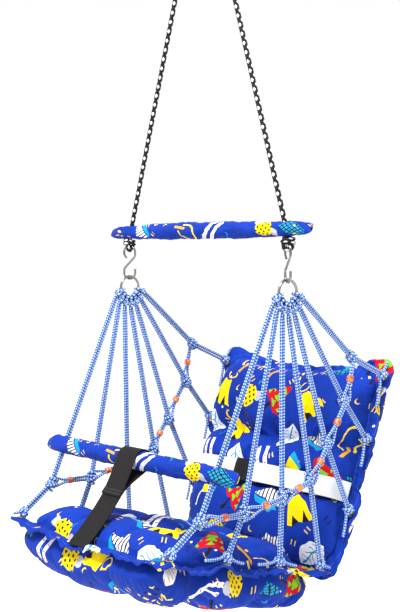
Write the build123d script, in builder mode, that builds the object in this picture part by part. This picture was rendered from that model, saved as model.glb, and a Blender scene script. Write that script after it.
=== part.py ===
from build123d import *

import os
from math import cos, pi, radians, sin, tan

# A child's hanging swing: a quilted seat and backrest in two fans of knotted cord, each fan
# gathered on a steel ring. S-hooks join the rings to a spreader bar, and two ropes join the bar
# to one hanging ring. Millimetres. +X is the sitter's left-to-right width, -Y is the front and
# +Z is up. The origin is where the hanging ring bears on its hook.

# Driving dimensions
RING_LEVEL = -822.0  # height of the two seat rings' centres
RING_X = 214.0  # half of the spacing of the two ropes, hooks and seat rings
SPREADER_RISE = 110.0  # spreader bar's axis above the seat rings' centres
SPREADER_LENGTH = 538.0
SPREADER_DOWEL_LENGTH = 480.0
SPREADER_DOWEL_RADIUS = 10.5
FRONT_BAR_LENGTH = 520.0
FRONT_BAR_DOWEL_LENGTH = 466.0
FRONT_BAR_DOWEL_RADIUS = 13.5
FRONT_BAR_SLEEVE_RADIUS = 16.4
FRONT_BAR_HOLE_RADIUS = 7.0
SEAT_TILT = 13.0  # the seat slopes down to the back
SEAT_LENGTH = 425.0
BACKREST_RECLINE = 22.0
BACKREST_LENGTH = 430.0
SEAT_HEM_WIDTH = 436.0
BACKREST_HEM_WIDTH = 452.0
HEM_BAND = 26.0
HEM_THICKNESS = 2.4
SEAT_PAD_LENGTH = 346.0
SEAT_PAD_RISE = 48.0  # above the hem
SEAT_PAD_DROP = 92.0  # below it
BACKREST_PAD_LENGTH = 382.0
BACKREST_PAD_FRONT = 46.0
BACKREST_PAD_REAR = 54.0
COVER_THICKNESS = 1.0
SEAT_WADDING_THICKNESS = 8.0
BACKREST_WADDING_THICKNESS = 4.6
ROPE_DIAMETER = 9.0
CORD_DIAMETER = 5.5
STRAND_PITCH = 6.1  # between the two strands of a doubled cord
SEAT_RING_RADIUS = 22.5
SEAT_RING_WIRE = 2.5
HANGING_RING_RADIUS = 28.0
HANGING_RING_WIRE = 3.5
HOOK_WIRE = 2.2
HOOK_TWIST = 25.0  # each hook's plane is turned this far from the XZ plane
BEAD_RADIUS = 6.5
BEAD_LENGTH = 12.0
BEAD_BORE_RADIUS = 3.2
EYELET_BORE_RADIUS = 3.6
EYELET_RIM_RADIUS = 8.0
SEAT_EYELET_X = 205.0
BACKREST_EYELET_X = 213.0
WEBBING_WIDTH = 50.0
WEBBING_THICKNESS = 2.4
BELT_WIDTH = 38.0
BELT_THICKNESS = 1.8
GAP = 0.3
PAD_CORNER = 55.0  # in plan
PAD_EDGE = 38.0

# Anchor points and planes
SPREADER_Z = RING_LEVEL + SPREADER_RISE
FRONT_BAR_Z = RING_LEVEL - 297.0
HANGING_RING_Z = -(HANGING_RING_RADIUS - HANGING_RING_WIRE)
SEAT_FRONT = Vector(0, -290, RING_LEVEL - 416)
SEAT_AXES = Plane(SEAT_FRONT, x_dir=(1, 0, 0), z_dir=(0, sin(radians(SEAT_TILT)), cos(radians(SEAT_TILT))))
BACKREST_FOOT = Vector(0, 128, RING_LEVEL - 532)
BACKREST_AXES = Plane(
    BACKREST_FOOT,
    x_dir=(1, 0, 0),
    z_dir=(0, -cos(radians(BACKREST_RECLINE)), sin(radians(BACKREST_RECLINE))),
)

# The net on one side: where the rail crosses each cord, as (x, y, height from the ring level),
# from the front cord to the back one
RAIL_KNOTS = [
    (206, -199, -367),
    (209, -102, -369),
    (211, -10, -355),
    (212, 62, -332),
    (213, 104, -274),
    (213, 152, -200),
    (215, 172, -122),
]
SEAT_EYELETS = [23, 154, 287, 398]  # along the seat hem, from the front
BACKREST_EYELETS = [131, 267, 395]  # along the backrest hem, from the foot
# Loose ends past each eyelet: towards the front or foot, and towards the back or top
TAILS = [(18, 0), (46, 40), (50, 42), (0, 24), (44, 0), (46, 0), (56, 24)]
FAN_ANGLE = 27.0  # between neighbouring cords on the ring
SIDES = {"left": -1, "right": 1}

os.makedirs("parts", exist_ok=True)


def save(part, label):
    part.label = label
    export_step(part, f"parts/{label}.step")


def fillet_radii(points, wanted):
    """Arc radii for a route: the wanted one at each corner, cut down to what its runs allow."""
    radii = []
    for before, corner, after, radius in zip(points, points[1:], points[2:], wanted):
        run_in = Vector(corner) - Vector(before)
        run_out = Vector(after) - Vector(corner)
        half_turn = radians(run_in.get_angle(run_out)) / 2
        room = 0.45 * min(run_in.length, run_out.length) / tan(half_turn)
        radii.append(min(radius, room))
    return radii


def tube(points, wanted, diameter, name):
    """A round cord along straight runs joined by tangent arcs."""
    radii = fillet_radii(points, wanted)
    with BuildPart() as cord:
        with BuildLine() as route:
            FilletPolyline(*points, radius=radii)
        with BuildSketch(Plane(route.line @ 0, z_dir=route.line % 0)):
            Circle(diameter / 2)
        sweep()
    expected = pi * diameter**2 / 4 * sum(edge.length for edge in route.edges())
    print(name, "radii", [round(r, 1) for r in radii], "volume ratio", round(cord.part.volume / expected, 3))
    return cord.part


# --- Hanging ring and ropes -------------------------------------------------------------------

with BuildPart() as hanging_ring:
    with BuildSketch(Plane.XZ.offset(0)):
        with Locations((HANGING_RING_RADIUS, 0)):
            Circle(HANGING_RING_WIRE)
    revolve(axis=Axis.Z)
hanging_ring_upright = hanging_ring.part.rotate(Axis.X, 90).moved(Location((0, 0, HANGING_RING_Z)))
save(hanging_ring_upright, "hanging_ring")

TOP_EYE_X = 8.0
TOP_EYE_RADIUS = 9.8
TOP_EYE_CENTRE = Vector(TOP_EYE_X, 0, -52.6)
TOP_KNOT_RADIUS = 9.0
TOP_KNOT_LENGTH = 17.0
ROPE_FOOT = Vector(RING_X, 0, RING_LEVEL + 97.4)
EYE_TILT = 17.0

LOW_EYE_RADIUS = 7.4
LOW_EYE_ROPE = 4.1
LOW_EYE_Z = RING_LEVEL + 83.9


def mirrored(vector, side):
    return Vector(side * vector.X, vector.Y, vector.Z)


def rope_top_knot(side):
    """The rope's eye round the hanging ring, and the knot that closes it."""
    centre = mirrored(TOP_EYE_CENTRE, side)
    down = (mirrored(ROPE_FOOT, side) - centre).normalized()
    tilt = radians(EYE_TILT)
    wire_direction = (cos(tilt), 0, side * sin(tilt))
    with BuildPart() as knot:
        with BuildSketch(Plane(centre, x_dir=(0, 1, 0), z_dir=wire_direction)):
            Circle(TOP_EYE_RADIUS + ROPE_DIAMETER / 2)
            Circle(TOP_EYE_RADIUS - ROPE_DIAMETER / 2, mode=Mode.SUBTRACT)
        extrude(amount=ROPE_DIAMETER / 2 - 0.5, both=True)
        fillet(knot.edges(), radius=3.2)
        with BuildSketch(Plane(centre + down * (TOP_EYE_RADIUS + 0.5), z_dir=down)):
            Circle(TOP_KNOT_RADIUS)
        extrude(amount=TOP_KNOT_LENGTH)
    return knot.part


def rope_line(side):
    """The two ends of a suspension rope: under its top knot, and over its lower eye."""
    centre = mirrored(TOP_EYE_CENTRE, side)
    down = (mirrored(ROPE_FOOT, side) - centre).normalized()
    start = centre + down * (TOP_EYE_RADIUS + 0.7 + TOP_KNOT_LENGTH)
    return start, mirrored(ROPE_FOOT, side)


def suspension_rope(side):
    start, end = rope_line(side)
    with BuildPart() as rope:
        with BuildSketch(Plane(start, z_dir=end - start)):
            Circle(ROPE_DIAMETER / 2)
        extrude(amount=(end - start).length)
    return rope.part


def hook_direction(side):
    """The level direction in which a hook's plane lies."""
    return Vector(cos(radians(HOOK_TWIST)), side * -sin(radians(HOOK_TWIST)), 0)


def rope_eye(side):
    """The rope's lower eye, under the spreader bar, that the hook hangs in."""
    wire_direction = hook_direction(side)
    with BuildPart() as eye:
        with BuildSketch(Plane((side * RING_X, 0, LOW_EYE_Z), x_dir=(0, 0, 1), z_dir=wire_direction)):
            Circle(LOW_EYE_RADIUS + LOW_EYE_ROPE)
            Circle(LOW_EYE_RADIUS - LOW_EYE_ROPE, mode=Mode.SUBTRACT)
        extrude(amount=LOW_EYE_ROPE - 0.3, both=True)
        fillet(eye.edges(), radius=3.0)
    return eye.part


def s_hook(side):
    """A bent wire hook: a closed loop at the top, and an open one that carries the seat ring."""
    level = hook_direction(side)
    plane = Plane((side * RING_X, 0, RING_LEVEL), x_dir=level, z_dir=level.cross(Vector(0, 0, 1)))
    turns = [
        (12, 37),
        (12, 17.5),
        (-12, 17.5),
        (-12, 38),
        (12, 62),
        (12, 83.1),
        (-12, 83.1),
        (-12, 66),
        (-6.5, 58.5),
    ]
    with BuildPart() as hook:
        with BuildLine(plane) as wire:
            FilletPolyline(*turns, radius=[11.7, 11.7, 8, 8, 11.7, 11.7, 5])
        with BuildSketch(Plane(wire.line @ 0, z_dir=wire.line % 0)):
            Circle(HOOK_WIRE)
        sweep()
    return hook.part


def seat_ring(side):
    with BuildPart() as ring:
        with BuildSketch(Plane.XZ):
            with Locations((SEAT_RING_RADIUS, 0)):
                Circle(SEAT_RING_WIRE)
        revolve(axis=Axis.Z)
    return ring.part.rotate(Axis.Y, 90).moved(Location((side * RING_X, 0, RING_LEVEL)))


# --- Net ---------------------------------------------------------------------------------------


def hem_point(index):
    """Where cord number index (0 at the front) meets the hem on the +X side, and the hem's axes."""
    if index < len(SEAT_EYELETS):
        axes, across, along = SEAT_AXES, SEAT_EYELET_X, SEAT_EYELETS[index]
    else:
        axes, across = BACKREST_AXES, BACKREST_EYELET_X
        along = BACKREST_EYELETS[index - len(SEAT_EYELETS)]
    return axes.from_local_coords(Vector(across, along, 0)), axes.y_dir, axes.z_dir


def net_cord_route(side, index):
    """One doubled cord's route: loose end, hem, rail knot, round the ring and back down."""
    ring_centre = Vector(side * RING_X, 0, RING_LEVEL)
    fan = radians(FAN_ANGLE * (index - 3))
    outward = Vector(0, sin(fan), -cos(fan))
    wire = ring_centre + outward * SEAT_RING_RADIUS
    x, y, drop = RAIL_KNOTS[index]
    knot = Vector(side * x, y, RING_LEVEL + drop)
    hem, along, normal = hem_point(index)
    hem = mirrored(hem, side) + normal * 7.5
    lead = (outward * 0.35 + (knot - wire).normalized() * 0.65).normalized()
    top = wire + lead * 18

    def across(start, end):
        """Unit vector square to a run, in the side's plane, towards the back."""
        run = (end - start).normalized()
        return Vector(0, -run.Z, run.Y).normalized() * (STRAND_PITCH / 2)

    upper, lower = across(top, knot), across(knot, hem)
    middle = (upper + lower).normalized() * (STRAND_PITCH / 2)
    front_tail, back_tail = TAILS[index]
    reach = Vector(SEAT_RING_WIRE + CORD_DIAMETER / 2 + 0.45, 0, 0)
    inside = outward * -5.7
    route = [
        hem - lower - along * front_tail - normal * 2.4,
        hem - lower,
        knot - middle,
        top - upper,
        wire + reach + outward * 3,
        wire + reach + inside,
        wire - reach + inside,
        wire - reach + outward * 3,
        top + upper,
        knot + middle,
        hem + lower,
        hem + lower + along * back_tail - normal * 2.4,
    ]
    radii = [6, 20, 10, 8, 5.5, 5.5, 8, 10, 20, 6]
    if front_tail == 0:
        route, radii = route[1:], radii[1:]
    if back_tail == 0:
        route, radii = route[:-1], radii[:-1]
    return route, radii


def rail_route(side):
    """The cord that ties the net cords together lies just outside them."""
    offset = CORD_DIAMETER + 0.7
    return [Vector(side * (x + offset), y, RING_LEVEL + drop) for x, y, drop in RAIL_KNOTS]


def rail_beads(side):
    """One wooden bead between each two neighbouring net cords."""
    route = rail_route(side)
    with BuildPart() as beads:
        for start, end in zip(route, route[1:]):
            middle = (start + end) * 0.5
            axis = (end - start).normalized()
            with BuildSketch(Plane(middle - axis * (BEAD_LENGTH / 2), z_dir=axis)):
                Circle(BEAD_RADIUS)
            extrude(amount=BEAD_LENGTH)
        fillet(beads.edges(), radius=2.6)
        for start, end in zip(route, route[1:]):
            middle = (start + end) * 0.5
            axis = (end - start).normalized()
            with BuildSketch(Plane(middle - axis * BEAD_LENGTH, z_dir=axis)):
                Circle(BEAD_BORE_RADIUS)
            extrude(amount=2 * BEAD_LENGTH, mode=Mode.SUBTRACT)
    return beads.part


for side_name, side in SIDES.items():
    save(rope_top_knot(side), f"rope_top_knot_{side_name}")
    save(suspension_rope(side), f"suspension_rope_{side_name}")
    save(rope_eye(side), f"rope_eye_{side_name}")
    save(s_hook(side), f"s_hook_{side_name}")
    save(seat_ring(side), f"seat_ring_{side_name}")
    for index in range(len(RAIL_KNOTS)):
        cord_name = f"net_cord_{side_name}_{index + 1}"
        route, wanted = net_cord_route(side, index)
        save(tube(route, wanted, CORD_DIAMETER, cord_name), cord_name)
    rail_name = f"side_rail_{side_name}"
    save(tube(rail_route(side), [12] * 5, CORD_DIAMETER, rail_name), rail_name)
    save(rail_beads(side), f"rail_beads_{side_name}")


# --- Bars --------------------------------------------------------------------------------------

SLEEVE_CLOTH = 1.6
TIP_WIDTH = 26.0
TIP_THICKNESS = 4.0


def bar_sleeve(centre, dowel_radius, dowel_length, length, radius, middle_radius):
    """A cloth tube over a dowel, fuller in the middle, its two ends pressed flat and sewn shut."""
    half = dowel_length / 2 + 1
    with BuildPart() as sleeve:
        with BuildSketch(Plane.XZ.offset(-centre.Y)):
            with BuildLine():
                Polyline(
                    (-half, centre.Z),
                    (-half, centre.Z + radius),
                    (-half / 3, centre.Z + middle_radius),
                    (half / 3, centre.Z + middle_radius),
                    (half, centre.Z + radius),
                    (half, centre.Z),
                    close=True,
                )
            make_face()
        revolve(axis=Axis(centre, (1, 0, 0)))
        for end in (-1, 1):
            with BuildSketch(Plane(centre + Vector(end * half, 0, 0), x_dir=(0, 1, 0), z_dir=(end, 0, 0))):
                Circle(radius)
            with BuildSketch(
                Plane(centre + Vector(end * length / 2, 0, 0), x_dir=(0, 1, 0), z_dir=(end, 0, 0))
            ):
                Ellipse(TIP_WIDTH / 2, TIP_THICKNESS / 2)
            loft()
        with BuildSketch(Plane(centre - Vector(half, 0, 0), x_dir=(0, 1, 0), z_dir=(1, 0, 0))):
            Circle(dowel_radius + GAP)
        extrude(amount=2 * half, mode=Mode.SUBTRACT)
    return sleeve.part


def dowel(centre, radius, length):
    with BuildPart() as rod:
        with BuildSketch(Plane(centre - Vector(length / 2, 0, 0), x_dir=(0, 1, 0), z_dir=(1, 0, 0))):
            Circle(radius)
        extrude(amount=length)
        chamfer(rod.edges(), length=1.5)
    return rod.part


def bored(part, holes, radius):
    """The part with a round hole along each (start, end) line."""
    with BuildPart() as result:
        add(part)
        for start, end in holes:
            with BuildSketch(Plane(start, z_dir=end - start)):
                Circle(radius)
            extrude(amount=(end - start).length, mode=Mode.SUBTRACT)
    return result.part


spreader_centre = Vector(0, 0, SPREADER_Z)
rope_holes = []
for side in SIDES.values():
    rope_start, rope_end = rope_line(side)
    rope_way = (rope_end - rope_start).normalized()
    rope_holes.append((rope_end - rope_way * 50, rope_end + rope_way * 20))
rope_hole_radius = ROPE_DIAMETER / 2 + GAP
save(
    bored(dowel(spreader_centre, SPREADER_DOWEL_RADIUS, SPREADER_DOWEL_LENGTH), rope_holes, rope_hole_radius),
    "spreader_dowel",
)
save(
    bored(
        bar_sleeve(
            spreader_centre,
            SPREADER_DOWEL_RADIUS,
            SPREADER_DOWEL_LENGTH,
            SPREADER_LENGTH,
            SPREADER_DOWEL_RADIUS + SLEEVE_CLOTH,
            SPREADER_DOWEL_RADIUS + SLEEVE_CLOTH + 4,
        ),
        rope_holes,
        rope_hole_radius,
    ),
    "spreader_sleeve",
)

# The front bar rides on the two front cords
front_cord, _ = net_cord_route(1, 0)
front_knot = (front_cord[1 + 1] + front_cord[-2]) * 0.5
front_cord_top = (front_cord[3] + front_cord[-3]) * 0.5
cord_way = (front_knot - front_cord_top).normalized()
slide_way = Vector(0, cord_way.Y, cord_way.Z).normalized()
bar_on_cord = front_cord_top + cord_way * ((FRONT_BAR_Z - front_cord_top.Z) / cord_way.Z)
front_bar_centre = Vector(0, bar_on_cord.Y, FRONT_BAR_Z)
cord_holes = []
for side in SIDES.values():
    hole_centre = mirrored(bar_on_cord, side)
    cord_holes.append((hole_centre - slide_way * 30, hole_centre + slide_way * 30))
print("front bar centre", front_bar_centre, "slides along", slide_way)
save(
    bored(
        dowel(front_bar_centre, FRONT_BAR_DOWEL_RADIUS, FRONT_BAR_DOWEL_LENGTH),
        cord_holes,
        FRONT_BAR_HOLE_RADIUS,
    ),
    "front_bar_dowel",
)
save(
    bored(
        bar_sleeve(
            front_bar_centre,
            FRONT_BAR_DOWEL_RADIUS,
            FRONT_BAR_DOWEL_LENGTH,
            FRONT_BAR_LENGTH,
            FRONT_BAR_SLEEVE_RADIUS,
            FRONT_BAR_SLEEVE_RADIUS + 0.5,
        ),
        cord_holes,
        FRONT_BAR_HOLE_RADIUS,
    ),
    "front_bar_sleeve",
)


# --- Seat and backrest -------------------------------------------------------------------------


def pillow(axes, along, length, width, low, high, corner, edge):
    """A quilted pad's closed outer shape, from low to high about its hem's plane."""
    with BuildPart() as pad:
        with BuildSketch(axes.offset(low)):
            with Locations((0, along + length / 2)):
                RectangleRounded(width, length, corner)
        extrude(amount=high - low)
        ends = [pad.faces().sort_by(Axis(axes.origin, axes.z_dir))[i].edges() for i in (0, -1)]
        fillet([e for group in ends for e in group], radius=edge)
    return pad.part


def cover_and_wadding(axes, along, length, width, low, high, wadding):
    """The printed cover as a closed skin, and the wadding packed in its middle."""
    outer = pillow(axes, along, length, width, low, high, PAD_CORNER, PAD_EDGE)
    skin = COVER_THICKNESS
    inner = pillow(
        axes,
        along + skin,
        length - 2 * skin,
        width - 2 * skin,
        low + skin,
        high - skin,
        PAD_CORNER - skin,
        PAD_EDGE - skin,
    )
    with BuildPart() as cover:
        add(outer)
        add(inner, mode=Mode.SUBTRACT)
    with BuildPart() as filling:
        with BuildSketch(axes.offset(-wadding / 2)):
            with Locations((0, along + length / 2)):
                RectangleRounded(width - 10, length - 10, PAD_CORNER - 5)
        extrude(amount=wadding)
    return cover.part, filling.part


def hem(axes, width, length, pad_length, eyelet_x, eyelets):
    """The flat sewn border round a pad, with its eyelet holes."""
    with BuildPart() as border:
        with BuildSketch(axes.offset(-HEM_THICKNESS / 2)):
            with Locations((0, length / 2)):
                RectangleRounded(width, length, 12)
            with Locations((0, HEM_BAND + pad_length / 2)):
                RectangleRounded(
                    width - 2 * HEM_BAND + 0.8, pad_length + 0.8, PAD_CORNER + 0.4, mode=Mode.SUBTRACT
                )
            with Locations(*[(side * eyelet_x, along) for side in SIDES.values() for along in eyelets]):
                Circle(EYELET_BORE_RADIUS + 1.1, mode=Mode.SUBTRACT)
        extrude(amount=HEM_THICKNESS)
    return border.part


def eyelet_set(axes, eyelet_x, eyelets):
    """Brass eyelets: a barrel through the hem with a rolled rim on each face."""
    half = HEM_THICKNESS / 2 + 0.05
    with BuildPart() as rims:
        for side in SIDES.values():
            for along in eyelets:
                centre = axes.from_local_coords(Vector(side * eyelet_x, along, 0))
                with BuildSketch(Plane(centre - axes.z_dir * half, z_dir=axes.z_dir)):
                    Circle(EYELET_BORE_RADIUS + 1)
                    Circle(EYELET_BORE_RADIUS, mode=Mode.SUBTRACT)
                extrude(amount=2 * half)
                for face in (-1, 1):
                    rim_plane = Plane(centre + axes.z_dir * (face * half), z_dir=axes.z_dir * face)
                    with BuildSketch(rim_plane):
                        Circle(EYELET_RIM_RADIUS)
                        Circle(EYELET_BORE_RADIUS, mode=Mode.SUBTRACT)
                    extrude(amount=0.8)
    return rims.part


seat_cover, seat_filling = cover_and_wadding(
    SEAT_AXES,
    HEM_BAND,
    SEAT_PAD_LENGTH,
    SEAT_HEM_WIDTH - 2 * HEM_BAND,
    -SEAT_PAD_DROP,
    SEAT_PAD_RISE,
    SEAT_WADDING_THICKNESS,
)
save(seat_cover, "seat_cover")
save(seat_filling, "seat_filling")
backrest_cover, backrest_filling = cover_and_wadding(
    BACKREST_AXES,
    HEM_BAND,
    BACKREST_PAD_LENGTH,
    BACKREST_HEM_WIDTH - 2 * HEM_BAND,
    -BACKREST_PAD_REAR,
    BACKREST_PAD_FRONT,
    BACKREST_WADDING_THICKNESS,
)
save(backrest_cover, "backrest_cover")
save(backrest_filling, "backrest_filling")
save(
    hem(SEAT_AXES, SEAT_HEM_WIDTH, SEAT_LENGTH, SEAT_PAD_LENGTH, SEAT_EYELET_X, SEAT_EYELETS),
    "seat_hem",
)
save(
    hem(
        BACKREST_AXES,
        BACKREST_HEM_WIDTH,
        BACKREST_LENGTH,
        BACKREST_PAD_LENGTH,
        BACKREST_EYELET_X,
        BACKREST_EYELETS,
    ),
    "backrest_hem",
)
save(eyelet_set(SEAT_AXES, SEAT_EYELET_X, SEAT_EYELETS), "seat_eyelets")
save(eyelet_set(BACKREST_AXES, BACKREST_EYELET_X, BACKREST_EYELETS), "backrest_eyelets")


# --- Webbing -----------------------------------------------------------------------------------


def ribbon(plane, points, radii, width, thickness):
    """Flat webbing along a bent line drawn in a plane, as wide as the plane's normal direction."""
    with BuildPart() as band:
        with BuildLine(plane) as route:
            FilletPolyline(*points, radius=radii)
        start_plane = Plane(route.line @ 0, x_dir=plane.z_dir, z_dir=route.line % 0)
        with BuildSketch(start_plane):
            Rectangle(width, thickness)
        sweep()
    return band.part


# The crotch strap: a leg up from the seat's front hem, sewn to a loop round the front bar
loop_radius = FRONT_BAR_SLEEVE_RADIUS + 0.5 + WEBBING_THICKNESS / 2 + 1.4
strap_foot = SEAT_FRONT + Vector(0, -3, -5)
strap_way = (front_bar_centre - strap_foot).normalized()
strap_side = Vector(0, -strap_way.Z, strap_way.Y)
strap_joint = front_bar_centre - strap_way * 62
side_plane = Plane.YZ


def in_side_plane(vector):
    return (vector.Y, vector.Z)


loop_points = [
    strap_joint + strap_side * 2.6,
    front_bar_centre + strap_side * loop_radius,
    front_bar_centre + strap_side * loop_radius + strap_way * loop_radius,
    front_bar_centre - strap_side * loop_radius + strap_way * loop_radius,
    front_bar_centre - strap_side * loop_radius,
    strap_joint - strap_side * 2.6,
]
with BuildPart() as crotch_strap:
    add(
        ribbon(
            side_plane,
            [in_side_plane(p) for p in loop_points],
            [9, loop_radius - 0.3, loop_radius - 0.3, 9],
            WEBBING_WIDTH,
            WEBBING_THICKNESS,
        )
    )
    with BuildSketch(Plane(strap_joint - strap_way * 8, x_dir=(1, 0, 0), z_dir=strap_way)):
        Rectangle(WEBBING_WIDTH, 3 * WEBBING_THICKNESS)
    extrude(amount=10)
    with BuildSketch(Plane(strap_foot, x_dir=(1, 0, 0), z_dir=strap_way)):
        Rectangle(WEBBING_WIDTH, WEBBING_THICKNESS)
    extrude(amount=(strap_joint - strap_foot).length - 4)
save(crotch_strap.part, "crotch_strap")

# The waist belt lies across the backrest pad: two white halves that meet at a hook-and-loop patch
BELT_UP = 165.0
belt_plane = Plane(
    BACKREST_AXES.from_local_coords(Vector(0, BELT_UP, 0)),
    x_dir=(1, 0, 0),
    z_dir=-BACKREST_AXES.y_dir,
)
belt_height = BACKREST_PAD_FRONT + BELT_THICKNESS / 2 + GAP
belt_edge = BACKREST_HEM_WIDTH / 2 - HEM_BAND + 1.5


def belt_half(side, inner_x):
    """From the hem's inner edge, over the pad's side and across its front."""
    points = [
        (side * belt_edge, HEM_THICKNESS + 2),
        (side * belt_edge, belt_height),
        (side * inner_x, belt_height),
    ]
    return ribbon(belt_plane, points, [30], BELT_WIDTH, BELT_THICKNESS)


PATCH_LEFT = -64.0
PATCH_RIGHT = -14.0
save(belt_half(-1, -PATCH_LEFT), "belt_left")
save(belt_half(1, PATCH_RIGHT), "belt_right")
with BuildPart() as belt_patch:
    with BuildSketch(belt_plane.offset(-BELT_WIDTH / 2 - 3)):
        with Locations(((PATCH_LEFT + PATCH_RIGHT) / 2, belt_height)):
            Rectangle(PATCH_RIGHT - PATCH_LEFT - 0.4, BELT_THICKNESS)
    extrude(amount=BELT_WIDTH + 6)
save(belt_patch.part, "belt_patch")
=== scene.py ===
import math

import bpy
import numpy as np
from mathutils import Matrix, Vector, noise
from mathutils.bvhtree import BVHTree


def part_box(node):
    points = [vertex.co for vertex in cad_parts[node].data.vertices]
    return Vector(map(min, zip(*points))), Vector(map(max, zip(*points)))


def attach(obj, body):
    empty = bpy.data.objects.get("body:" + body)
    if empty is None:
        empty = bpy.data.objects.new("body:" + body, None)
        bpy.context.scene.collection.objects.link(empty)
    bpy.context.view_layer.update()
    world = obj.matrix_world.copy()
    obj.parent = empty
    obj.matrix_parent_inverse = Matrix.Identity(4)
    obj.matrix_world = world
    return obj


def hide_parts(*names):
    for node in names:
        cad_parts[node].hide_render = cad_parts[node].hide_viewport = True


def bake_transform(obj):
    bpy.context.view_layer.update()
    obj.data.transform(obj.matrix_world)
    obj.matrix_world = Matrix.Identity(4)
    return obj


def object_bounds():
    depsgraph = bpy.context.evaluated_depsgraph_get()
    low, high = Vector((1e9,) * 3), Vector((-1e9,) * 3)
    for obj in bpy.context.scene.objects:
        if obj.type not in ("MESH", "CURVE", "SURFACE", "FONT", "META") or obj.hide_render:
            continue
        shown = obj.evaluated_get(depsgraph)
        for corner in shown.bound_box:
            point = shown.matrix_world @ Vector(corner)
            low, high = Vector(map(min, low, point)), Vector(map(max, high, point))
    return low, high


# The looks of a child's hanging swing: two fans of braided cord, a printed quilted seat and
# backrest, two cloth-covered bars, a crotch strap and a waist belt. Metres, in the CAD frame:
# -Y is the front, +Z is up, and the origin is where the hanging ring bears on its hook.

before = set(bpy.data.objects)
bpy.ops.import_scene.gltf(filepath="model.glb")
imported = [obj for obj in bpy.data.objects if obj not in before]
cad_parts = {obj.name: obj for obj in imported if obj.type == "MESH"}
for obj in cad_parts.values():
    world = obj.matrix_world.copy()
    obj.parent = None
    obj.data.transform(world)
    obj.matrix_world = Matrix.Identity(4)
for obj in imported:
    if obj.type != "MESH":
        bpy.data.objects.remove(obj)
cad_low, cad_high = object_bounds()
scene = bpy.context.scene
SIDES = {"left": -1, "right": 1}


# --- Camera, light and floor ------------------------------------------------------------------

CAMERA_PLACE = (1.530, -1.434, -0.7586)
CAMERA_PITCH = 87.446  # degrees from straight down
CAMERA_TURN = 47.0
CAMERA_LENS = 66.25
FLOOR_DROP = 0.30  # the swing hangs clear of the floor
FLOOR_REACH = 30.0
FLOOR_GLOW = 0.08
LIGHT_AIM = Vector((0, 0, -1.1))
LIGHTS = {  # each light's place, its diameter and its power in watts
    "key": ((0.75, -1.35, 1.5), 1.0, 180),
    "fill": ((-1.9, -1.6, -0.3), 1.8, 8),
    "back": ((0.4, 2.2, 0.5), 1.5, 22),
}


def make_camera():
    data = bpy.data.cameras.new("camera")
    data.sensor_width = 36
    data.lens = CAMERA_LENS
    camera = bpy.data.objects.new("camera", data)
    camera.location = CAMERA_PLACE
    camera.rotation_euler = (math.radians(CAMERA_PITCH), 0, math.radians(CAMERA_TURN))
    scene.collection.objects.link(camera)
    scene.camera = camera


def area_light(name, place, size, power):
    data = bpy.data.lights.new(name, "AREA")
    data.shape = "DISK"
    data.size = size
    data.energy = power
    light = bpy.data.objects.new(name, data)
    light.location = place
    light.rotation_euler = (LIGHT_AIM - Vector(place)).to_track_quat("-Z", "Y").to_euler()
    scene.collection.objects.link(light)


def make_studio():
    world = bpy.data.worlds.new("studio")
    world.use_nodes = True
    background = world.node_tree.nodes["Background"]
    background.inputs["Color"].default_value = (1, 1, 1, 1)
    background.inputs["Strength"].default_value = 1.0
    scene.world = world
    scene.view_settings.view_transform = "Standard"
    for name, (place, size, power) in LIGHTS.items():
        area_light(name, place, size, power)
    floor = bpy.data.meshes.new("floor")
    level = cad_low.z - FLOOR_DROP
    corners = ((-1, -1), (1, -1), (1, 1), (-1, 1))
    places = [(x * FLOOR_REACH, y * FLOOR_REACH, level) for x, y in corners]
    floor.from_pydata(places, [], [(0, 1, 2, 3)])
    floor_object = bpy.data.objects.new("floor", floor)
    scene.collection.objects.link(floor_object)
    graph = Graph("floor_paint")
    graph.set("Base Color", (0.99, 0.99, 0.99, 1))
    graph.set("Roughness", 0.9)
    graph.set("Emission Color", (1, 1, 1, 1))
    graph.set("Emission Strength", FLOOR_GLOW)
    floor.materials.append(graph.material)


# --- Node graphs -------------------------------------------------------------------------------


def math_method(kind, *before):
    """A method that adds one math node. before holds the values that come ahead of the signal."""
    return lambda signal, *others: signal.graph.math(kind, *before, signal, *others)


class Signal:
    """One number that a material works out at each point, written like a sum."""

    __add__ = math_method("ADD")
    __sub__ = math_method("SUBTRACT")
    __mul__ = math_method("MULTIPLY")
    __truediv__ = math_method("DIVIDE")
    __lt__ = math_method("LESS_THAN")
    __gt__ = math_method("GREATER_THAN")
    __and__ = math_method("MINIMUM")
    __or__ = math_method("MAXIMUM")
    __abs__ = math_method("ABSOLUTE")
    __invert__ = math_method("SUBTRACT", 1.0)
    floor = math_method("FLOOR")
    fraction = math_method("FRACT")
    sine = math_method("SINE")
    cosine = math_method("COSINE")
    modulo = math_method("FLOORED_MODULO")
    scaled = math_method("MULTIPLY_ADD")
    root = math_method("SQRT")

    def __init__(self, graph, socket):
        self.graph = graph
        self.socket = socket

    def squared(self):
        return self * self

    def ease(self, start, end):
        """0 below start and 1 above end, with a smooth step between."""
        node = self.graph.node("ShaderNodeMapRange")
        node.interpolation_type = "SMOOTHSTEP"
        self.graph.put(self, node.inputs["Value"])
        self.graph.put(start, node.inputs["From Min"])
        self.graph.put(end, node.inputs["From Max"])
        return Signal(self.graph, node.outputs["Result"])


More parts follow.
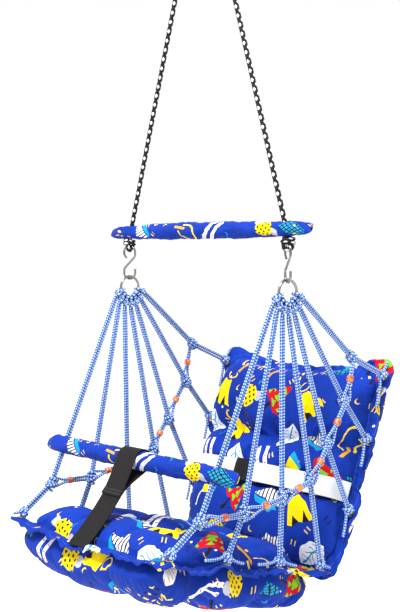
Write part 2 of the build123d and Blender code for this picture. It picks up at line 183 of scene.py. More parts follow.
class Graph:
    """A material and short ways to add its nodes."""

    def __init__(self, name):
        self.material = bpy.data.materials.new(name)
        self.material.use_nodes = True
        self.tree = self.material.node_tree
        self.shader = self.tree.nodes["Principled BSDF"]

    def node(self, kind):
        return self.tree.nodes.new(kind)

    def put(self, value, socket):
        if isinstance(value, Signal):
            self.tree.links.new(value.socket, socket)
        elif isinstance(value, bpy.types.NodeSocket):
            self.tree.links.new(value, socket)
        else:
            socket.default_value = value

    def set(self, name, value):
        self.put(value, self.shader.inputs[name])

    def math(self, kind, *values):
        node = self.node("ShaderNodeMath")
        node.operation = kind
        for value, socket in zip(values, node.inputs):
            self.put(value, socket)
        return Signal(self, node.outputs[0])

    def mix(self, share, under, over):
        """The colour under, covered by the colour over as far as share says."""
        node = self.node("ShaderNodeMix")
        node.data_type = "RGBA"
        self.put(share, node.inputs[0])
        self.put(under, node.inputs[6])
        self.put(over, node.inputs[7])
        return node.outputs[2]

    def split(self, vector):
        node = self.node("ShaderNodeSeparateXYZ")
        self.put(vector, node.inputs[0])
        return [Signal(self, output) for output in node.outputs]

    def join(self, x, y, z=0.0):
        node = self.node("ShaderNodeCombineXYZ")
        for value, socket in zip((x, y, z), node.inputs):
            self.put(value, socket)
        return node.outputs[0]

    def cloth_place(self):
        """Where a point is on its own flat cloth or round its own cord."""
        node = self.node("ShaderNodeUVMap")
        node.uv_map = "cloth"
        return self.split(node.outputs["UV"])[:2]

    def object_place(self):
        return self.node("ShaderNodeTexCoord").outputs["Object"]

    def noise(self, scale, detail=2.0, place=None):
        node = self.node("ShaderNodeTexNoise")
        node.inputs["Scale"].default_value = scale
        node.inputs["Detail"].default_value = detail
        self.put(place or self.object_place(), node.inputs["Vector"])
        return Signal(self, node.outputs[0])

    def random(self, x, y, seed):
        """Three random numbers for each pair of whole numbers x, y."""
        node = self.node("ShaderNodeTexWhiteNoise")
        node.noise_dimensions = "3D"
        self.put(self.join(x, y, seed), node.inputs["Vector"])
        return self.split(node.outputs["Color"])

    def bump(self, height, depth, strength=1.0):
        node = self.node("ShaderNodeBump")
        node.inputs["Strength"].default_value = strength
        node.inputs["Distance"].default_value = depth
        self.put(height, node.inputs["Height"])
        self.set("Normal", node.outputs["Normal"])


def srgb(red, green, blue):
    """A colour given as 0 to 255 screen values."""
    shares = [value / 255 for value in (red, green, blue)]
    linear = [((c + 0.055) / 1.055) ** 2.4 if c > 0.0404 else c / 12.92 for c in shares]
    return (*linear, 1.0)


def shaded(colour, share):
    """The colour made darker, or lighter where share is above 1."""
    return (*[value * share for value in colour[:3]], 1.0)


# --- Materials ---------------------------------------------------------------------------------

PRINT_BLUE = srgb(11, 45, 140)
YELLOW = srgb(226, 192, 2)
RED = srgb(176, 12, 30)
GREEN = srgb(96, 180, 34)
WHITE = srgb(220, 221, 226)
CYAN = srgb(10, 134, 178)
BROWN = srgb(26, 18, 20)
GREY = srgb(164, 166, 172)
GOLD = srgb(206, 148, 16)
STITCH_BLUE = srgb(52, 78, 168)


def tent(x, y):
    """A yellow tent with two dark doors and a ring above it."""
    half = y.scaled(-0.36, 0.17)
    body = (abs(x) < half) & (abs(y + 0.05) < 0.23)
    doors = (abs(abs(x) - 0.11) < (y + 0.12) * -0.42) & (y > -0.28)
    from_ring = ((x - 0.06).squared() + (y - 0.30).squared() * 2.6).root()
    ring = (abs(from_ring - 0.12) < 0.018) & (y > 0.17)
    return [(body | ring, YELLOW), (doors & body, BROWN)]


def fir(x, y):
    """A red tree with green triangles and a dark trunk."""
    crown = (abs(x) < y.scaled(-0.5, 0.2)) & (abs(y - 0.1) < 0.26)
    tooth = (y * 6.0).fraction()
    triangles = abs((x * 4.2 + 0.5).fraction() - 0.5) < tooth * -0.42 + 0.42
    trunk = (abs(x) < 0.028) & (y < -0.1) & (y > -0.42)
    return [(trunk, BROWN), (crown, RED), (crown & triangles & (abs(y - 0.06) < 0.17), GREEN)]


def bars(x, y):
    """Two white strokes with small red stitches."""
    lean = x - y * 0.25
    pair = (abs(abs(lean) - 0.09) < 0.042) & (abs(y) < 0.36)
    tick = ((y * 9.0).fraction() < 0.16) & (abs(abs(lean) - 0.09) < 0.024)
    return [(pair, WHITE), (pair & tick, RED)]


def dashes(x, y):
    """A scatter of small yellow strokes."""
    column, row = (x * 7.0).floor(), (y * 8.0).floor()
    first, second, third = x.graph.random(column, row, 5.0)
    u, v = (x * 7.0).fraction() - 0.5, (y * 8.0).fraction() - 0.5
    stroke = (abs(u - v * (first - 0.2)) < 0.13) & (abs(v) < 0.3) & (second > 0.25)
    near = (x.squared() + y.squared()) < 0.11
    dark = third > 0.8
    return [(stroke & near, YELLOW), (stroke & near & dark, BROWN)]


def scribble(x, y):
    """A yellow scribble: an open ring with a tail."""
    radius = (x.squared() * 1.7 + (y - 0.05).squared()).root()
    wobble = (x * 14.0).sine() * 0.02
    ring = (abs(radius - 0.24 + wobble) < 0.022) & (abs(x + 0.02) + y * 0.6 > -0.02)
    tail = (abs(x - y * 0.5 - 0.06) < 0.03) & (abs(y + 0.2) < 0.14)
    return [(ring, YELLOW), (tail, GOLD)]


def basket(x, y):
    """A cyan block crossed by dark lines."""
    block = (abs(x) < y.scaled(0.3, 0.26)) & (abs(y) < 0.17)
    lines = ((x * 13.0 + y * 3.0).fraction() < 0.3) | ((y * 13.0).fraction() < 0.3)
    return [(block, CYAN), (block & lines, BROWN)]


def leaf(x, y):
    """A white leaf with a cyan vein and side veins."""
    blade = (abs(x) + y.squared() * 1.5) < 0.19
    vein = (abs(x) < 0.014) & (abs(y) < 0.3)
    side = (abs((y * 9.0 + abs(x) * 8.0).fraction() - 0.5) < 0.1) & (abs(x) < 0.1) & (abs(y) < 0.22)
    return [(blade, WHITE), (blade & (vein | side), CYAN)]


def sail(x, y):
    """A white sail with slanted dark stripes over a cyan hull."""
    cloth = (abs(x - y * 0.4) < 0.27) & (y > -0.06) & ((y + abs(x) * 0.75) < 0.2)
    stripe = (x * 14.0 + y * 5.0).fraction() < 0.4
    hull = (abs(x) < y * 0.9 + 0.36) & (abs(y + 0.13) < 0.045)
    return [(cloth, WHITE), (cloth & stripe, BROWN), (hull, CYAN)]


def flower(x, y):
    """A yellow disc with dark dots between two grey leaves."""
    disc = (x.squared() + y.squared()) < 0.042
    dot_u, dot_v = (x * 11.0).fraction() - 0.5, (y * 11.0).fraction() - 0.5
    dots = (dot_u.squared() + dot_v.squared()) < 0.07
    wing = ((abs(x) - 0.25).squared() + (y + 0.06).squared() * 2.2) < 0.016
    return [(wing, GREY), (disc, YELLOW), (disc & dots, BROWN)]


def kite(x, y):
    """A golden kite with a blue-green corner."""
    body = (abs(x) * 1.5 + abs(y - 0.05)) < 0.27
    corner = body & (x + y > 0.16)
    tail = (abs(x + (y * 18.0).sine() * 0.03) < 0.014) & (y < -0.18) & (y > -0.44)
    return [(body, YELLOW), (corner, CYAN), (tail, WHITE)]


MOTIF_SHRINK = 0.70  # below 1 makes the motifs larger in their cells
WEAVE_PITCH = 0.0011
STITCH_PITCH = 0.0042
MOTIFS = [tent, fir, bars, dashes, scribble, basket, leaf, sail, flower, kite]


def small_marks(g, cell, seed):
    """Small dots and ticks that fill the ground between the motifs."""
    u, v = g.cloth_place()
    column, row = (u / cell).floor(), (v / cell).floor()
    which, turn, shift = g.random(column, row, seed)
    u = (u / cell).fraction() - 0.5 + (shift - 0.5) * 0.3
    v = (v / cell).fraction() - 0.5 + (turn - 0.5) * 0.3
    angle = turn * 6.0
    cosine, sine = angle.cosine(), angle.sine()
    x, y = u * cosine + v * sine, v * cosine - u * sine
    ticks = (abs(abs(x) - 0.12) < 0.032) & (abs(y) < 0.15)
    middle = x.squared() + y.squared()
    crescent = (middle < 0.028) & (((x - 0.07).squared() + y.squared()) > 0.022)
    dot = middle < 0.006
    return [
        (ticks & (which < 0.16), YELLOW),
        (crescent & (which > 0.16) & (which < 0.28), YELLOW),
        (dot & (which > 0.28) & (which < 0.36), WHITE),
        (ticks & (which > 0.36) & (which < 0.43), BROWN),
        (crescent & (which > 0.43) & (which < 0.49), CYAN),
    ]


def print_colour(g, cell, seed, fill):
    """Printed cotton: motifs in the share fill of a shifted grid's cells, turned at random, on blue."""
    u, v = g.cloth_place()
    v = v / cell
    row = v.floor()
    u = u / cell + row.modulo(2.0) * 0.5
    column = u.floor()
    which, turn, shift = g.random(column, row, seed)
    filled, lift, _ = g.random(column, row, seed + 3.0)
    u = u.fraction() - 0.5 + (shift - 0.5) * 0.08
    v = v.fraction() - 0.5 + (lift - 0.5) * 0.08
    angle = (turn - 0.5) * 1.9
    cosine, sine = angle.cosine(), angle.sine()
    x, y = (u * cosine + v * sine) * MOTIF_SHRINK, (v * cosine - u * sine) * MOTIF_SHRINK
    number = (which * float(len(MOTIFS))).floor()
    shade = g.noise(9.0, 3.0).ease(0.3, 0.75)
    colour = g.mix(shade, shaded(PRINT_BLUE, 0.86), shaded(PRINT_BLUE, 1.12))
    for mask, ink in small_marks(g, cell * 0.43, seed + 20.0):
        colour = g.mix(mask, colour, ink)
    for index, motif in enumerate(MOTIFS):
        chosen = (abs(number - float(index)) < 0.5) & (filled < fill)
        for mask, ink in motif(x, y):
            colour = g.mix(mask & chosen, colour, ink)
    return colour


def weave(g, pitch):
    """A plain weave's height, from 0 to 1."""
    u, v = g.cloth_place()
    turn = 2 * math.pi / pitch
    return (u * turn).sine() * (v * turn).sine() * 0.5 + 0.5


def cotton(name, cell, seed, fill, stitch_rows=()):
    """Printed cotton, with rows of stitches at the given places across the cloth."""
    g = Graph(name)
    colour = print_colour(g, cell, seed, fill)
    creases = g.noise(26.0, 4.0) * 7.0
    height = weave(g, WEAVE_PITCH) * 0.35 + g.noise(160.0, 3.0) * 0.6 + creases
    u, v = g.cloth_place()
    for place in stitch_rows:
        line = abs(v - place) < 0.0006
        dash = (u / STITCH_PITCH).fraction() < 0.66
        colour = g.mix(line & dash, colour, STITCH_BLUE)
        groove = abs(v - place).ease(0.0, 0.003)
        height = height + groove * 0.6
    g.set("Base Color", colour)
    g.set("Roughness", g.noise(40.0) * 0.12 + 0.68)
    g.set("Sheen Weight", 0.02)
    g.set("Sheen Roughness", 0.45)
    g.set("Specular IOR Level", 0.09)
    g.bump(height, 0.0006, 0.7)
    return g.material


def braid(name, carriers, pitch, colours, banded, light_from):
    """A braided cord: strands that cross in two directions round it. Its light strands show as
    bands across the cord, or as single flecks. The grooves between strands get painted shade."""
    g = Graph(name)
    u, v = g.cloth_place()
    around, along = u * float(carriers), v / pitch
    rising, falling = around + along, around - along
    up, down = rising.fraction() - 0.5, falling.fraction() - 0.5
    first, second = rising.floor().modulo(2.0), falling.floor().modulo(2.0)
    light = abs(first - second) < 0.5 if banded else (first < 0.5) & (second < 0.5)
    thread = g.noise(900.0, 2.0)
    dark_colour = g.mix(thread, colours[0], colours[1])
    light_colour = g.mix(thread, colours[2], colours[3])
    crown = ~(up * up * 4.0) * ~(down * down * 4.0)
    colour = g.mix(light & (crown > light_from), dark_colour, light_colour)
    # Painted shade: where the strands dip into their grooves, the colour darkens to 0.45 of the dark
    # strands' colour
    colour_with_painted_groove_shade = g.mix(crown.ease(0.0, 0.22), shaded(colours[0], 0.45), colour)
    g.set("Base Color", colour_with_painted_groove_shade)
    g.set("Roughness", thread * 0.15 + 0.62)
    g.set("Sheen Weight", 0.03)
    g.set("Specular IOR Level", 0.15)
    g.bump(crown + thread * 0.15, 0.0009, 0.8)
    return g.material


def metal(name, colour, roughness, painted_dark_reflection):
    g = Graph(name)
    grain = g.noise(420.0, 4.0)
    # Painted reflection: noise patches turn the metal's colour to a darker one, standing in for dark
    # surroundings reflected in it
    painted_reflection_streaks = g.noise(35.0, 3.0).ease(0.45, 0.8)
    g.set("Base Color", g.mix(painted_reflection_streaks, colour, painted_dark_reflection))
    g.set("Metallic", 1.0)
    g.set("Roughness", grain * 0.16 + roughness)
    g.bump(grain, 0.0002, 0.25)
    return g.material


def wood(name, light, dark, grain_scale, coat):
    g = Graph(name)
    place = g.object_place()
    x, y, z = g.split(place)
    stretched = g.join(x * 0.25, y, z)
    rings = g.node("ShaderNodeTexWave")
    rings.inputs["Scale"].default_value = grain_scale
    rings.inputs["Distortion"].default_value = 7.0
    rings.inputs["Detail"].default_value = 3.0
    g.put(stretched, rings.inputs["Vector"])
    grain = Signal(g, rings.outputs[0]) * 0.6 + g.noise(grain_scale * 3.0, 4.0, stretched) * 0.5
    g.set("Base Color", g.mix(grain.ease(0.25, 0.95), light, dark))
    g.set("Roughness", grain * 0.2 + 0.3)
    g.set("Coat Weight", coat)
    g.bump(grain, 0.0003, 0.3)
    return g.material


def webbing(name, light, dark, rib, stitch_rows=(), stitch_colour=(0.02, 0.02, 0.02, 1)):
    """Flat webbing with ribs along it and a fine twill across them."""
    g = Graph(name)
    u, v = g.cloth_place()
    ribs = (u * (2 * math.pi / rib)).sine() * 0.5 + 0.5
    twill = ((u + v) * (2 * math.pi / 0.0016)).sine() * 0.5 + 0.5
    fuzz = g.noise(700.0, 3.0)
    shade = ribs * 0.45 + twill * 0.25 + fuzz * 0.4
    colour = g.mix(shade, dark, light)
    for place in stitch_rows:
        line = (abs(v - place) < 0.0009) & ((u / 0.004).fraction() < 0.7)
        colour = g.mix(line, colour, stitch_colour)
    g.set("Base Color", colour)
    g.set("Roughness", fuzz * 0.15 + 0.7)
    g.set("Sheen Weight", 0.02)
    g.set("Specular IOR Level", 0.14)
    g.bump(ribs + twill * 0.5 + fuzz * 0.3, 0.0005, 0.6)
    return g.material


BLUES = [srgb(4, 66, 162), srgb(20, 96, 190), srgb(164, 190, 218), srgb(206, 217, 230)]
BLACKS = [srgb(9, 9, 10), srgb(26, 26, 29), srgb(196, 196, 200), srgb(226, 226, 226)]
STEEL = (0.27, 0.26, 0.25, 1)
BRASS = (0.72, 0.47, 0.17, 1)


def make_materials():
    strap_stitches = {"stitch_rows": (0.004, 0.010), "stitch_colour": srgb(52, 48, 50)}
    return {
        "net_cord": braid("net_cord", 5, pitch=0.0052, colours=BLUES, banded=True, light_from=0.22),
        "rope": braid("rope", 4, pitch=0.0088, colours=BLACKS, banded=False, light_from=0.0),
        # Each metal's second colour is its painted dark reflection
        "steel": metal("steel", STEEL, roughness=0.18, painted_dark_reflection=(0.13, 0.125, 0.12, 1)),
        "brass": metal("brass", BRASS, roughness=0.26, painted_dark_reflection=(0.5, 0.3, 0.1, 1)),
        "beads": wood("bead_wood", srgb(214, 112, 44), srgb(140, 46, 18), grain_scale=130.0, coat=0.5),
        "dowel": wood("dowel_wood", srgb(214, 178, 130), srgb(178, 136, 88), grain_scale=60.0, coat=0.0),
        "pad": cotton("printed_cotton", cell=0.078, seed=1.0, fill=0.84),
        "hem": cotton("hem_cotton", cell=0.085, seed=6.0, fill=0.45, stitch_rows=(0.005, 0.0235)),
        "sleeve": cotton("sleeve_cotton", cell=0.066, seed=11.0, fill=0.72),
        "strap": webbing("black_webbing", srgb(27, 24, 25), srgb(10, 9, 9), 0.0052, **strap_stitches),
        "patch": webbing("hook_and_loop", srgb(26, 25, 26), srgb(9, 9, 9), 0.0021, (0.004, 0.040)),
        "belt": webbing("white_elastic", srgb(220, 221, 223), srgb(186, 188, 194), 0.0027),
    }


# --- Meshes ------------------------------------------------------------------------------------


def surface(name, grid, cloth, material, wrap=False, skip=None):
    """A mesh over a grid of points. cloth is each grid point's place on the flat cloth. Where the
    grid closes on itself, cloth has one more column than the grid. skip says which faces, by their
    middles, are left out."""
    rows, columns = grid.shape[:2]
    across = columns if wrap else columns - 1
    faces, places = [], []
    for i in range(rows - 1):
        for j in range(across):
            k = (j + 1) % columns
            corners = [(i, j, j), (i, k, j + 1), (i + 1, k, j + 1), (i + 1, j, j)]
            if skip is not None:
                middle = sum(grid[a, b] for a, b, _ in corners) / 4
                if skip(middle):
                    continue
            faces.append([a * columns + b for a, b, _ in corners])
            places.extend(cloth[a, c] for a, _, c in corners)
    mesh = bpy.data.meshes.new(name)
    mesh.from_pydata(grid.reshape(-1, 3).tolist(), [], faces)
    layer = mesh.uv_layers.new(name="cloth")
    layer.data.foreach_set("uv", np.array(places, np.float32).ravel())
    mesh.polygons.foreach_set("use_smooth", [True] * len(mesh.polygons))
    mesh.materials.append(material)
    piece = bpy.data.objects.new(name, mesh)
    scene.collection.objects.link(piece)
    return piece


# The rings that close a tube's end: each one's size, and how far it stands out, in tube radii
CAP_RINGS = [(0.8, 0.16), (0.4, 0.26), (0.01, 0.28)]


def capped(grid, cloth):
    """The grid of a tube with both its ends closed and rounded."""
    for end, next_in in ((0, 1), (-1, -2)):
        edge = grid[end]
        middle = edge.mean(0)
        out = unit(middle - grid[next_in].mean(0))
        size = np.linalg.norm(edge - middle, axis=1).mean()
        rings = [middle + (edge - middle) * share + out * size * rise for share, rise in CAP_RINGS]
        places = np.array([cloth[end]] * len(CAP_RINGS))
        if end == 0:
            grid = np.concatenate([rings[::-1], grid])
            cloth = np.concatenate([places, cloth])
        else:
            grid = np.concatenate([grid, rings])
            cloth = np.concatenate([cloth, places])
    return grid, cloth


def unit(vector):
    return vector / np.linalg.norm(vector)


def lengths_along(line):
    return np.concatenate([[0], np.cumsum(np.linalg.norm(np.diff(line, axis=0), axis=1))])


def evenly(line, step):
    """The same line with points a step apart."""
    along = lengths_along(line)
    at = np.linspace(0, along[-1], max(2, int(along[-1] / step) + 1))
    return np.stack([np.interp(at, along, line[:, k]) for k in range(3)], axis=1)


def nurbs_line(points):
    """Points along the smooth NURBS curve that has these control points."""
    curve = bpy.data.curves.new("route", "CURVE")
    curve.dimensions = "3D"
    curve.resolution_u = 16
    spline = curve.splines.new("NURBS")
    spline.points.add(len(points) - 1)
    for control, place in zip(spline.points, points):
        control.co = (*place, 1)
    spline.order_u = 3
    spline.use_endpoint_u = True
    holder = bpy.data.objects.new("route", curve)
    mesh = bpy.data.meshes.new_from_object(holder)
    line = np.array([v.co for v in mesh.vertices], float)
    bpy.data.meshes.remove(mesh)
    bpy.data.curves.remove(curve)
    return line


def frames_along(line, first_side):
    """Tangents, and a side direction that turns with the line as little as it can."""
    tangents = np.gradient(line, axis=0)
    tangents /= np.linalg.norm(tangents, axis=1)[:, None]
    side = np.array(first_side, float)
    sides = []
    for tangent in tangents:
        side = unit(side - tangent * (side @ tangent))
        sides.append(side)
    return tangents, np.array(sides)


def places_over(across, along):
    """The cloth place at each crossing of these distances across and along a piece."""
    return np.stack(np.broadcast_arrays(across[None, :], along[:, None]), axis=2)


def tube_grid(line, radius, around):
    """Rings of points round a line, and their cloth places: the turn, and the length along."""
    tangents, sides = frames_along(line, (0.31, 0.83, 0.47))
    other = np.cross(tangents, sides)
    turn = np.arange(around) * (2 * math.pi / around)
    grid = line[:, None] + radius * (
        np.cos(turn)[None, :, None] * sides[:, None] + np.sin(turn)[None, :, None] * other[:, None]
    )
    return grid, places_over(np.arange(around + 1) / around, lengths_along(line))


def tube(name, line, radius, material, around=12):
    grid, cloth = capped(*tube_grid(line, radius, around))
    return surface(name, grid, cloth, material, wrap=True)


def wander(x, y, z):
    """A number between -1 and 1 that changes smoothly from place to place."""
    return noise.noise(Vector((x, y, z)))


def add_weld(piece, distance):
    weld = piece.modifiers.new("weld", "WELD")
    weld.merge_threshold = distance


def add_thickness(piece, thickness, offset):
    solid = piece.modifiers.new("thickness", "SOLIDIFY")
    solid.thickness = thickness
    solid.offset = offset


def joined(name, pieces):
    """Several pieces of one material made one object."""
    first = pieces[0]
    with bpy.context.temp_override(active_object=first, selected_editable_objects=pieces):
        bpy.ops.object.join()
    first.name = name
    return first


POINTS_PER_TURN = 36


def wrap_line(centre, axis, wide, turns, half_wide, half_deep, pitch, start=0.0):
    """A cord wound round an axis, in an oval that is longer towards wide. Its ends dive inwards."""
    axis, wide = unit(np.array(axis)), np.array(wide)
    wide = unit(wide - axis * (wide @ axis))
    deep = np.cross(axis, wide)
    t = np.linspace(0, turns, int(turns * POINTS_PER_TURN) + 1)
    dive = np.clip(np.minimum(t, turns - t) / 0.16, 0, 1)
    size = 0.45 + 0.55 * dive * dive * (3 - 2 * dive)
    angle = start + 2 * math.pi * t
    return (
        np.array(centre)
        + axis * ((t - turns / 2) * pitch)[:, None]
        + wide * (half_wide * size * np.cos(angle))[:, None]
        + deep * (half_deep * size * np.sin(angle))[:, None]
    )


# --- Cords -------------------------------------------------------------------------------------

CORD = 0.0055  # diameter of the net cord
ROPE = 0.009
STRAND_PITCH = 0.0061  # between the two strands of a doubled cord
STRAIGHT_LEAD = 6 * CORD  # how far from a ring, knot or hem a tight cord is straight
CORD_STEP = 0.002  # between the points of a drawn cord
FAN_ANGLE = math.radians(27)  # between neighbouring cords on the ring
WIRE_GAP = 0.00045
RING_WIRE = 0.0025  # the wire's radius
RING_RADIUS = 0.0225

ring_low, ring_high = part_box("seat_ring_right")
RING_CENTRE = (ring_low + ring_high) / 2

# Where the rail crosses each cord, from the front one to the back one: x, y and the height from
# the ring's centre
RAIL_KNOTS = [
    (0.206, -0.199, -0.367),
    (0.209, -0.102, -0.369),
    (0.211, -0.010, -0.355),
    (0.212, 0.062, -0.332),
    (0.213, 0.104, -0.274),
    (0.213, 0.152, -0.200),
    (0.215, 0.172, -0.122),
]
# Loose ends past each eyelet: towards the front or foot, and towards the back or top
TAILS = [
    (0.018, 0),
    (0.046, 0.040),
    (0.050, 0.042),
    (0, 0.024),
    (0.044, 0),
    (0.046, 0),
    (0.056, 0.024),
]

# The two cushions on their own axes: the origin is at the middle of the hem's front or foot, along
# runs to the rear or top, and normal points out of the front face, which is sat on or leaned on.
# Widths come before lengths. rise and drop are the fullness of the front face and the rear face.
# The quilting is sewn along seams, at shares of the length, along columns, at shares of the half
# width, and at tufts, which have both. The edge sags between two eyelets, the sides have a waist,
# and the ends dip. overhang is how far the front face and the rear face swell past their seam, and
# rear_overhang is the rear face's at its far end.
SEAT_TILT = math.radians(13)
SEAT = {
    "name": "seat",
    "origin": Vector((0, -0.290, -1.238)),
    "along": Vector((0, math.cos(SEAT_TILT), -math.sin(SEAT_TILT))),
    "normal": Vector((0, math.sin(SEAT_TILT), math.cos(SEAT_TILT))),
    "hem": (0.436, 0.425),
    "pad": (0.384, 0.346),
    "rise": 0.041,
    "drop": 0.086,
    "eyelet_x": 0.205,
    "eyelets": [0.023, 0.154, 0.287, 0.398],
    "seams": [0.33, 0.67],
    "tufts": [(-0.36, 0.33), (0.36, 0.33), (-0.36, 0.67), (0.36, 0.67)],
    "columns": [-0.36, 0.36],
    "sag": 0.011,
    "waist": 0.004,
    "top_dip": 0.0,
    "front_dip": 0.004,
    "front_sag": 0.010,
    "hem_corners": (0.012, 0.012),
    "overhang": (0.006, 0.020),
    "rear_overhang": 0.050,
    "seed": 2.0,
}
RECLINE = math.radians(22)
BACKREST = {
    "name": "backrest",
    "origin": Vector((0, 0.128, -1.354)),
    "along": Vector((0, math.sin(RECLINE), math.cos(RECLINE))),
    "normal": Vector((0, -math.cos(RECLINE), math.sin(RECLINE))),
    "hem": (0.452, 0.430),
    "pad": (0.400, 0.382),
    "rise": 0.049,
    "drop": 0.050,
    "eyelet_x": 0.213,
    "eyelets": [0.131, 0.267, 0.395],
    "seams": [0.35, 0.585],
    "tufts": [(-0.5, 0.585), (0.0, 0.585), (0.5, 0.585), (-0.25, 0.35), (0.3, 0.35)],
    "columns": [],
    "sag": 0.006,
    "waist": 0.009,
    "top_dip": 0.026,
    "front_dip": 0.0,
    "front_sag": 0.0,
    "hem_corners": (0.045, 0.012),
    "overhang": (0.009, 0.012),
    "rear_overhang": 0.012,
    "seed": 9.0,
}
HEM_BAND = 0.026
EYELET_HEIGHT = 0.0075  # of a cord's lowest knot, above the hem


def in_frame(pad, x, y, z):
    """A point on the pad's own axes, in the row frame."""
    return pad["origin"] + Vector((1, 0, 0)) * x + pad["along"] * y + pad["normal"] * z


def hem_place(side, index):
    """Where a cord stands on its eyelet, and the cushion's two directions there."""
    pad, number = (SEAT, index) if index < 4 else (BACKREST, index - 4)
    place = in_frame(pad, side * pad["eyelet_x"], pad["eyelets"][number], EYELET_HEIGHT)
    return place, pad["along"], pad["normal"]


def net_cord(side, index):
    """One doubled cord's control points, and its three knots as (place, way, across)."""
    centre = Vector((side * RING_CENTRE.x, RING_CENTRE.y, RING_CENTRE.z))
    fan = FAN_ANGLE * (index - 3)
    outward = Vector((0, math.sin(fan), -math.cos(fan)))
    wire = centre + outward * RING_RADIUS
    x, y, drop = RAIL_KNOTS[index]
    knot = Vector((side * x, y, centre.z + drop))
    hem, along, normal = hem_place(side, index)
    lead = (outward * 0.35 + (knot - wire).normalized() * 0.65).normalized()
    top = wire + lead * 0.018
    down, out = (knot - top).normalized(), (hem - knot).normalized()
    upper = Vector((0, -down.z, down.y)).normalized() * (STRAND_PITCH / 2)
    lower = Vector((0, -out.z, out.y)).normalized() * (STRAND_PITCH / 2)
    middle = (upper + lower).normalized() * (STRAND_PITCH / 2)
    front_tail, back_tail = TAILS[index]
    reach = Vector((RING_WIRE + CORD / 2 + WIRE_GAP, 0, 0))
    inside, outside = outward * -0.0057, outward * 0.003
    dip = normal * -0.0024
    low, high = min(STRAIGHT_LEAD, (hem - knot).length * 0.4), STRAIGHT_LEAD
    points = [
        hem - lower - along * front_tail + dip,
        hem - lower,
        hem - lower - out * low,
        knot - lower + out * low,
        knot - middle,
        knot - upper - down * high,
        top - upper + down * high,
        top - upper,
        wire + reach + outside,
        wire + reach + inside,
        wire - reach + inside,
        wire - reach + outside,
        top + upper,
        top + upper + down * high,
        knot + upper - down * high,
        knot + middle,
        knot + lower + out * low,
        hem + lower - out * low,
        hem + lower,
        hem + lower + along * back_tail + dip,
    ]
    if front_tail == 0:
        points = points[1:]
    if back_tail == 0:
        points = points[:-1]
    knots = [
        (wire + lead * 0.011, lead, upper),
        (knot, (down + out).normalized(), middle),
        (hem - out * 0.004, out, lower),
    ]
    return points, knots


CROSS_LEAN = 0.915  # how far a knot's cross turns lean from the cord, as a tangent


def knot_pieces(name, knots, material, index):
    """A hitch under the ring, a bulky knot at the rail, and another at the eyelet. Both knots are
    wound round the cord, and then once more across it."""
    (hitch, hitch_way, hitch_wide), (rail, rail_way, rail_wide), (hem, hem_way, hem_wide) = knots
    rail_cross = rail_way + rail_wide.normalized() * CROSS_LEAN
    hem_cross = hem_way - hem_wide.normalized() * CROSS_LEAN
    wraps = [  # turns, half width, half depth, pitch and first angle
        wrap_line(hitch, hitch_way, hitch_wide, 1.3, 0.0056, 0.0056, 0.0045, 0.6),
        wrap_line(rail, rail_way, rail_wide, 3.2, 0.0080, 0.0068, 0.0072, index * 0.9),
        wrap_line(rail, rail_cross, rail_wide, 1.4, 0.0105, 0.0086, 0.0035, 2.0 + index),
        wrap_line(hem, hem_way, hem_wide, 2.2, 0.0076, 0.0066, 0.0054, 1.0 + index),
        wrap_line(hem, hem_cross, hem_wide, 1.4, 0.0092, 0.0082, 0.0035, 0.4 + index),
    ]
    pieces = [tube(f"{name}_{i}", wrap, CORD / 2, material, 10) for i, wrap in enumerate(wraps)]
    return joined(name, pieces)


def make_net(materials):
    for side_name, side in SIDES.items():
        for index in range(len(RAIL_KNOTS)):
            points, knots = net_cord(side, index)
            line = evenly(nurbs_line(points), CORD_STEP)
            node = f"net_cord_{side_name}_{index + 1}"
            cord = tube(f"cord_{side_name}_{index + 1}", line, CORD / 2, materials["net_cord"], 12)
            knot = knot_pieces(f"knots_{side_name}_{index + 1}", knots, materials["net_cord"], index)
            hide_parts(node)
            for piece in (cord, knot):
                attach(piece, "seat")
        make_rail(side_name, side, materials)


RAIL_CLEARANCE = CORD + 0.0007
KNOT_SPREAD = 0.0115  # the strands leave a knot this far above and below its middle
BEAD_LEAD = 0.010  # the strands are together this far either side of a bead's middle


def rail_points(side, strand):
    """Control points of one of the rail's two strands: apart at the knots, together in the beads."""
    out = RAIL_CLEARANCE
    route = [Vector((side * (x + out), y, RING_CENTRE.z + drop)) for x, y, drop in RAIL_KNOTS]
    points = [route[0]]
    for start, end in zip(route, route[1:]):
        way = (end - start).normalized()
        over = Vector((0, -way.z, way.y)).normalized() * strand
        middle = (start + end) / 2
        if start != route[0]:
            points.append(start - way * 0.004 + over * 0.0030)
        points.append(start + way * 0.002 + over * KNOT_SPREAD)
        points += [middle - way * BEAD_LEAD + over * 0.0012, middle + way * BEAD_LEAD + over * 0.0030]
    points.append(route[-1])
    return points


def make_rail(side_name, side, materials):
    for strand_name, strand in (("upper", 1), ("lower", -1)):
        line = evenly(nurbs_line(rail_points(side, strand)), CORD_STEP)
        name = f"rail_{strand_name}_{side_name}"
        rail = tube(name, line, CORD / 2, materials["net_cord"], 12)
        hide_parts(f"side_rail_{side_name}")
        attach(rail, "seat")


TOP_EYE = Vector((0.008, 0, -0.0526))
ROPE_FOOT = Vector((RING_CENTRE.x, 0, RING_CENTRE.z + 0.0974))
TOP_EYE_REACH = 0.0275  # from the eye's middle to the lower end of its knot
TOP_WIRE_TILT = math.radians(17)  # of the hanging ring's wire where an eye bears on it
HOOK_TWIST = math.radians(25)
EYE_STEP = 0.0015  # between the points of an eye's small bends


def rope_eye(name, centre, across, up, half, far, radius, material):
    """A small eye of rope in its own plane: one side's points, the far end, and the other side."""
    outline = half + [(0, far)] + [(-a, b) for a, b in reversed(half)]
    line = nurbs_line([centre + across * a + up * b for a, b in outline])
    return tube(name, evenly(line, EYE_STEP), radius, material)


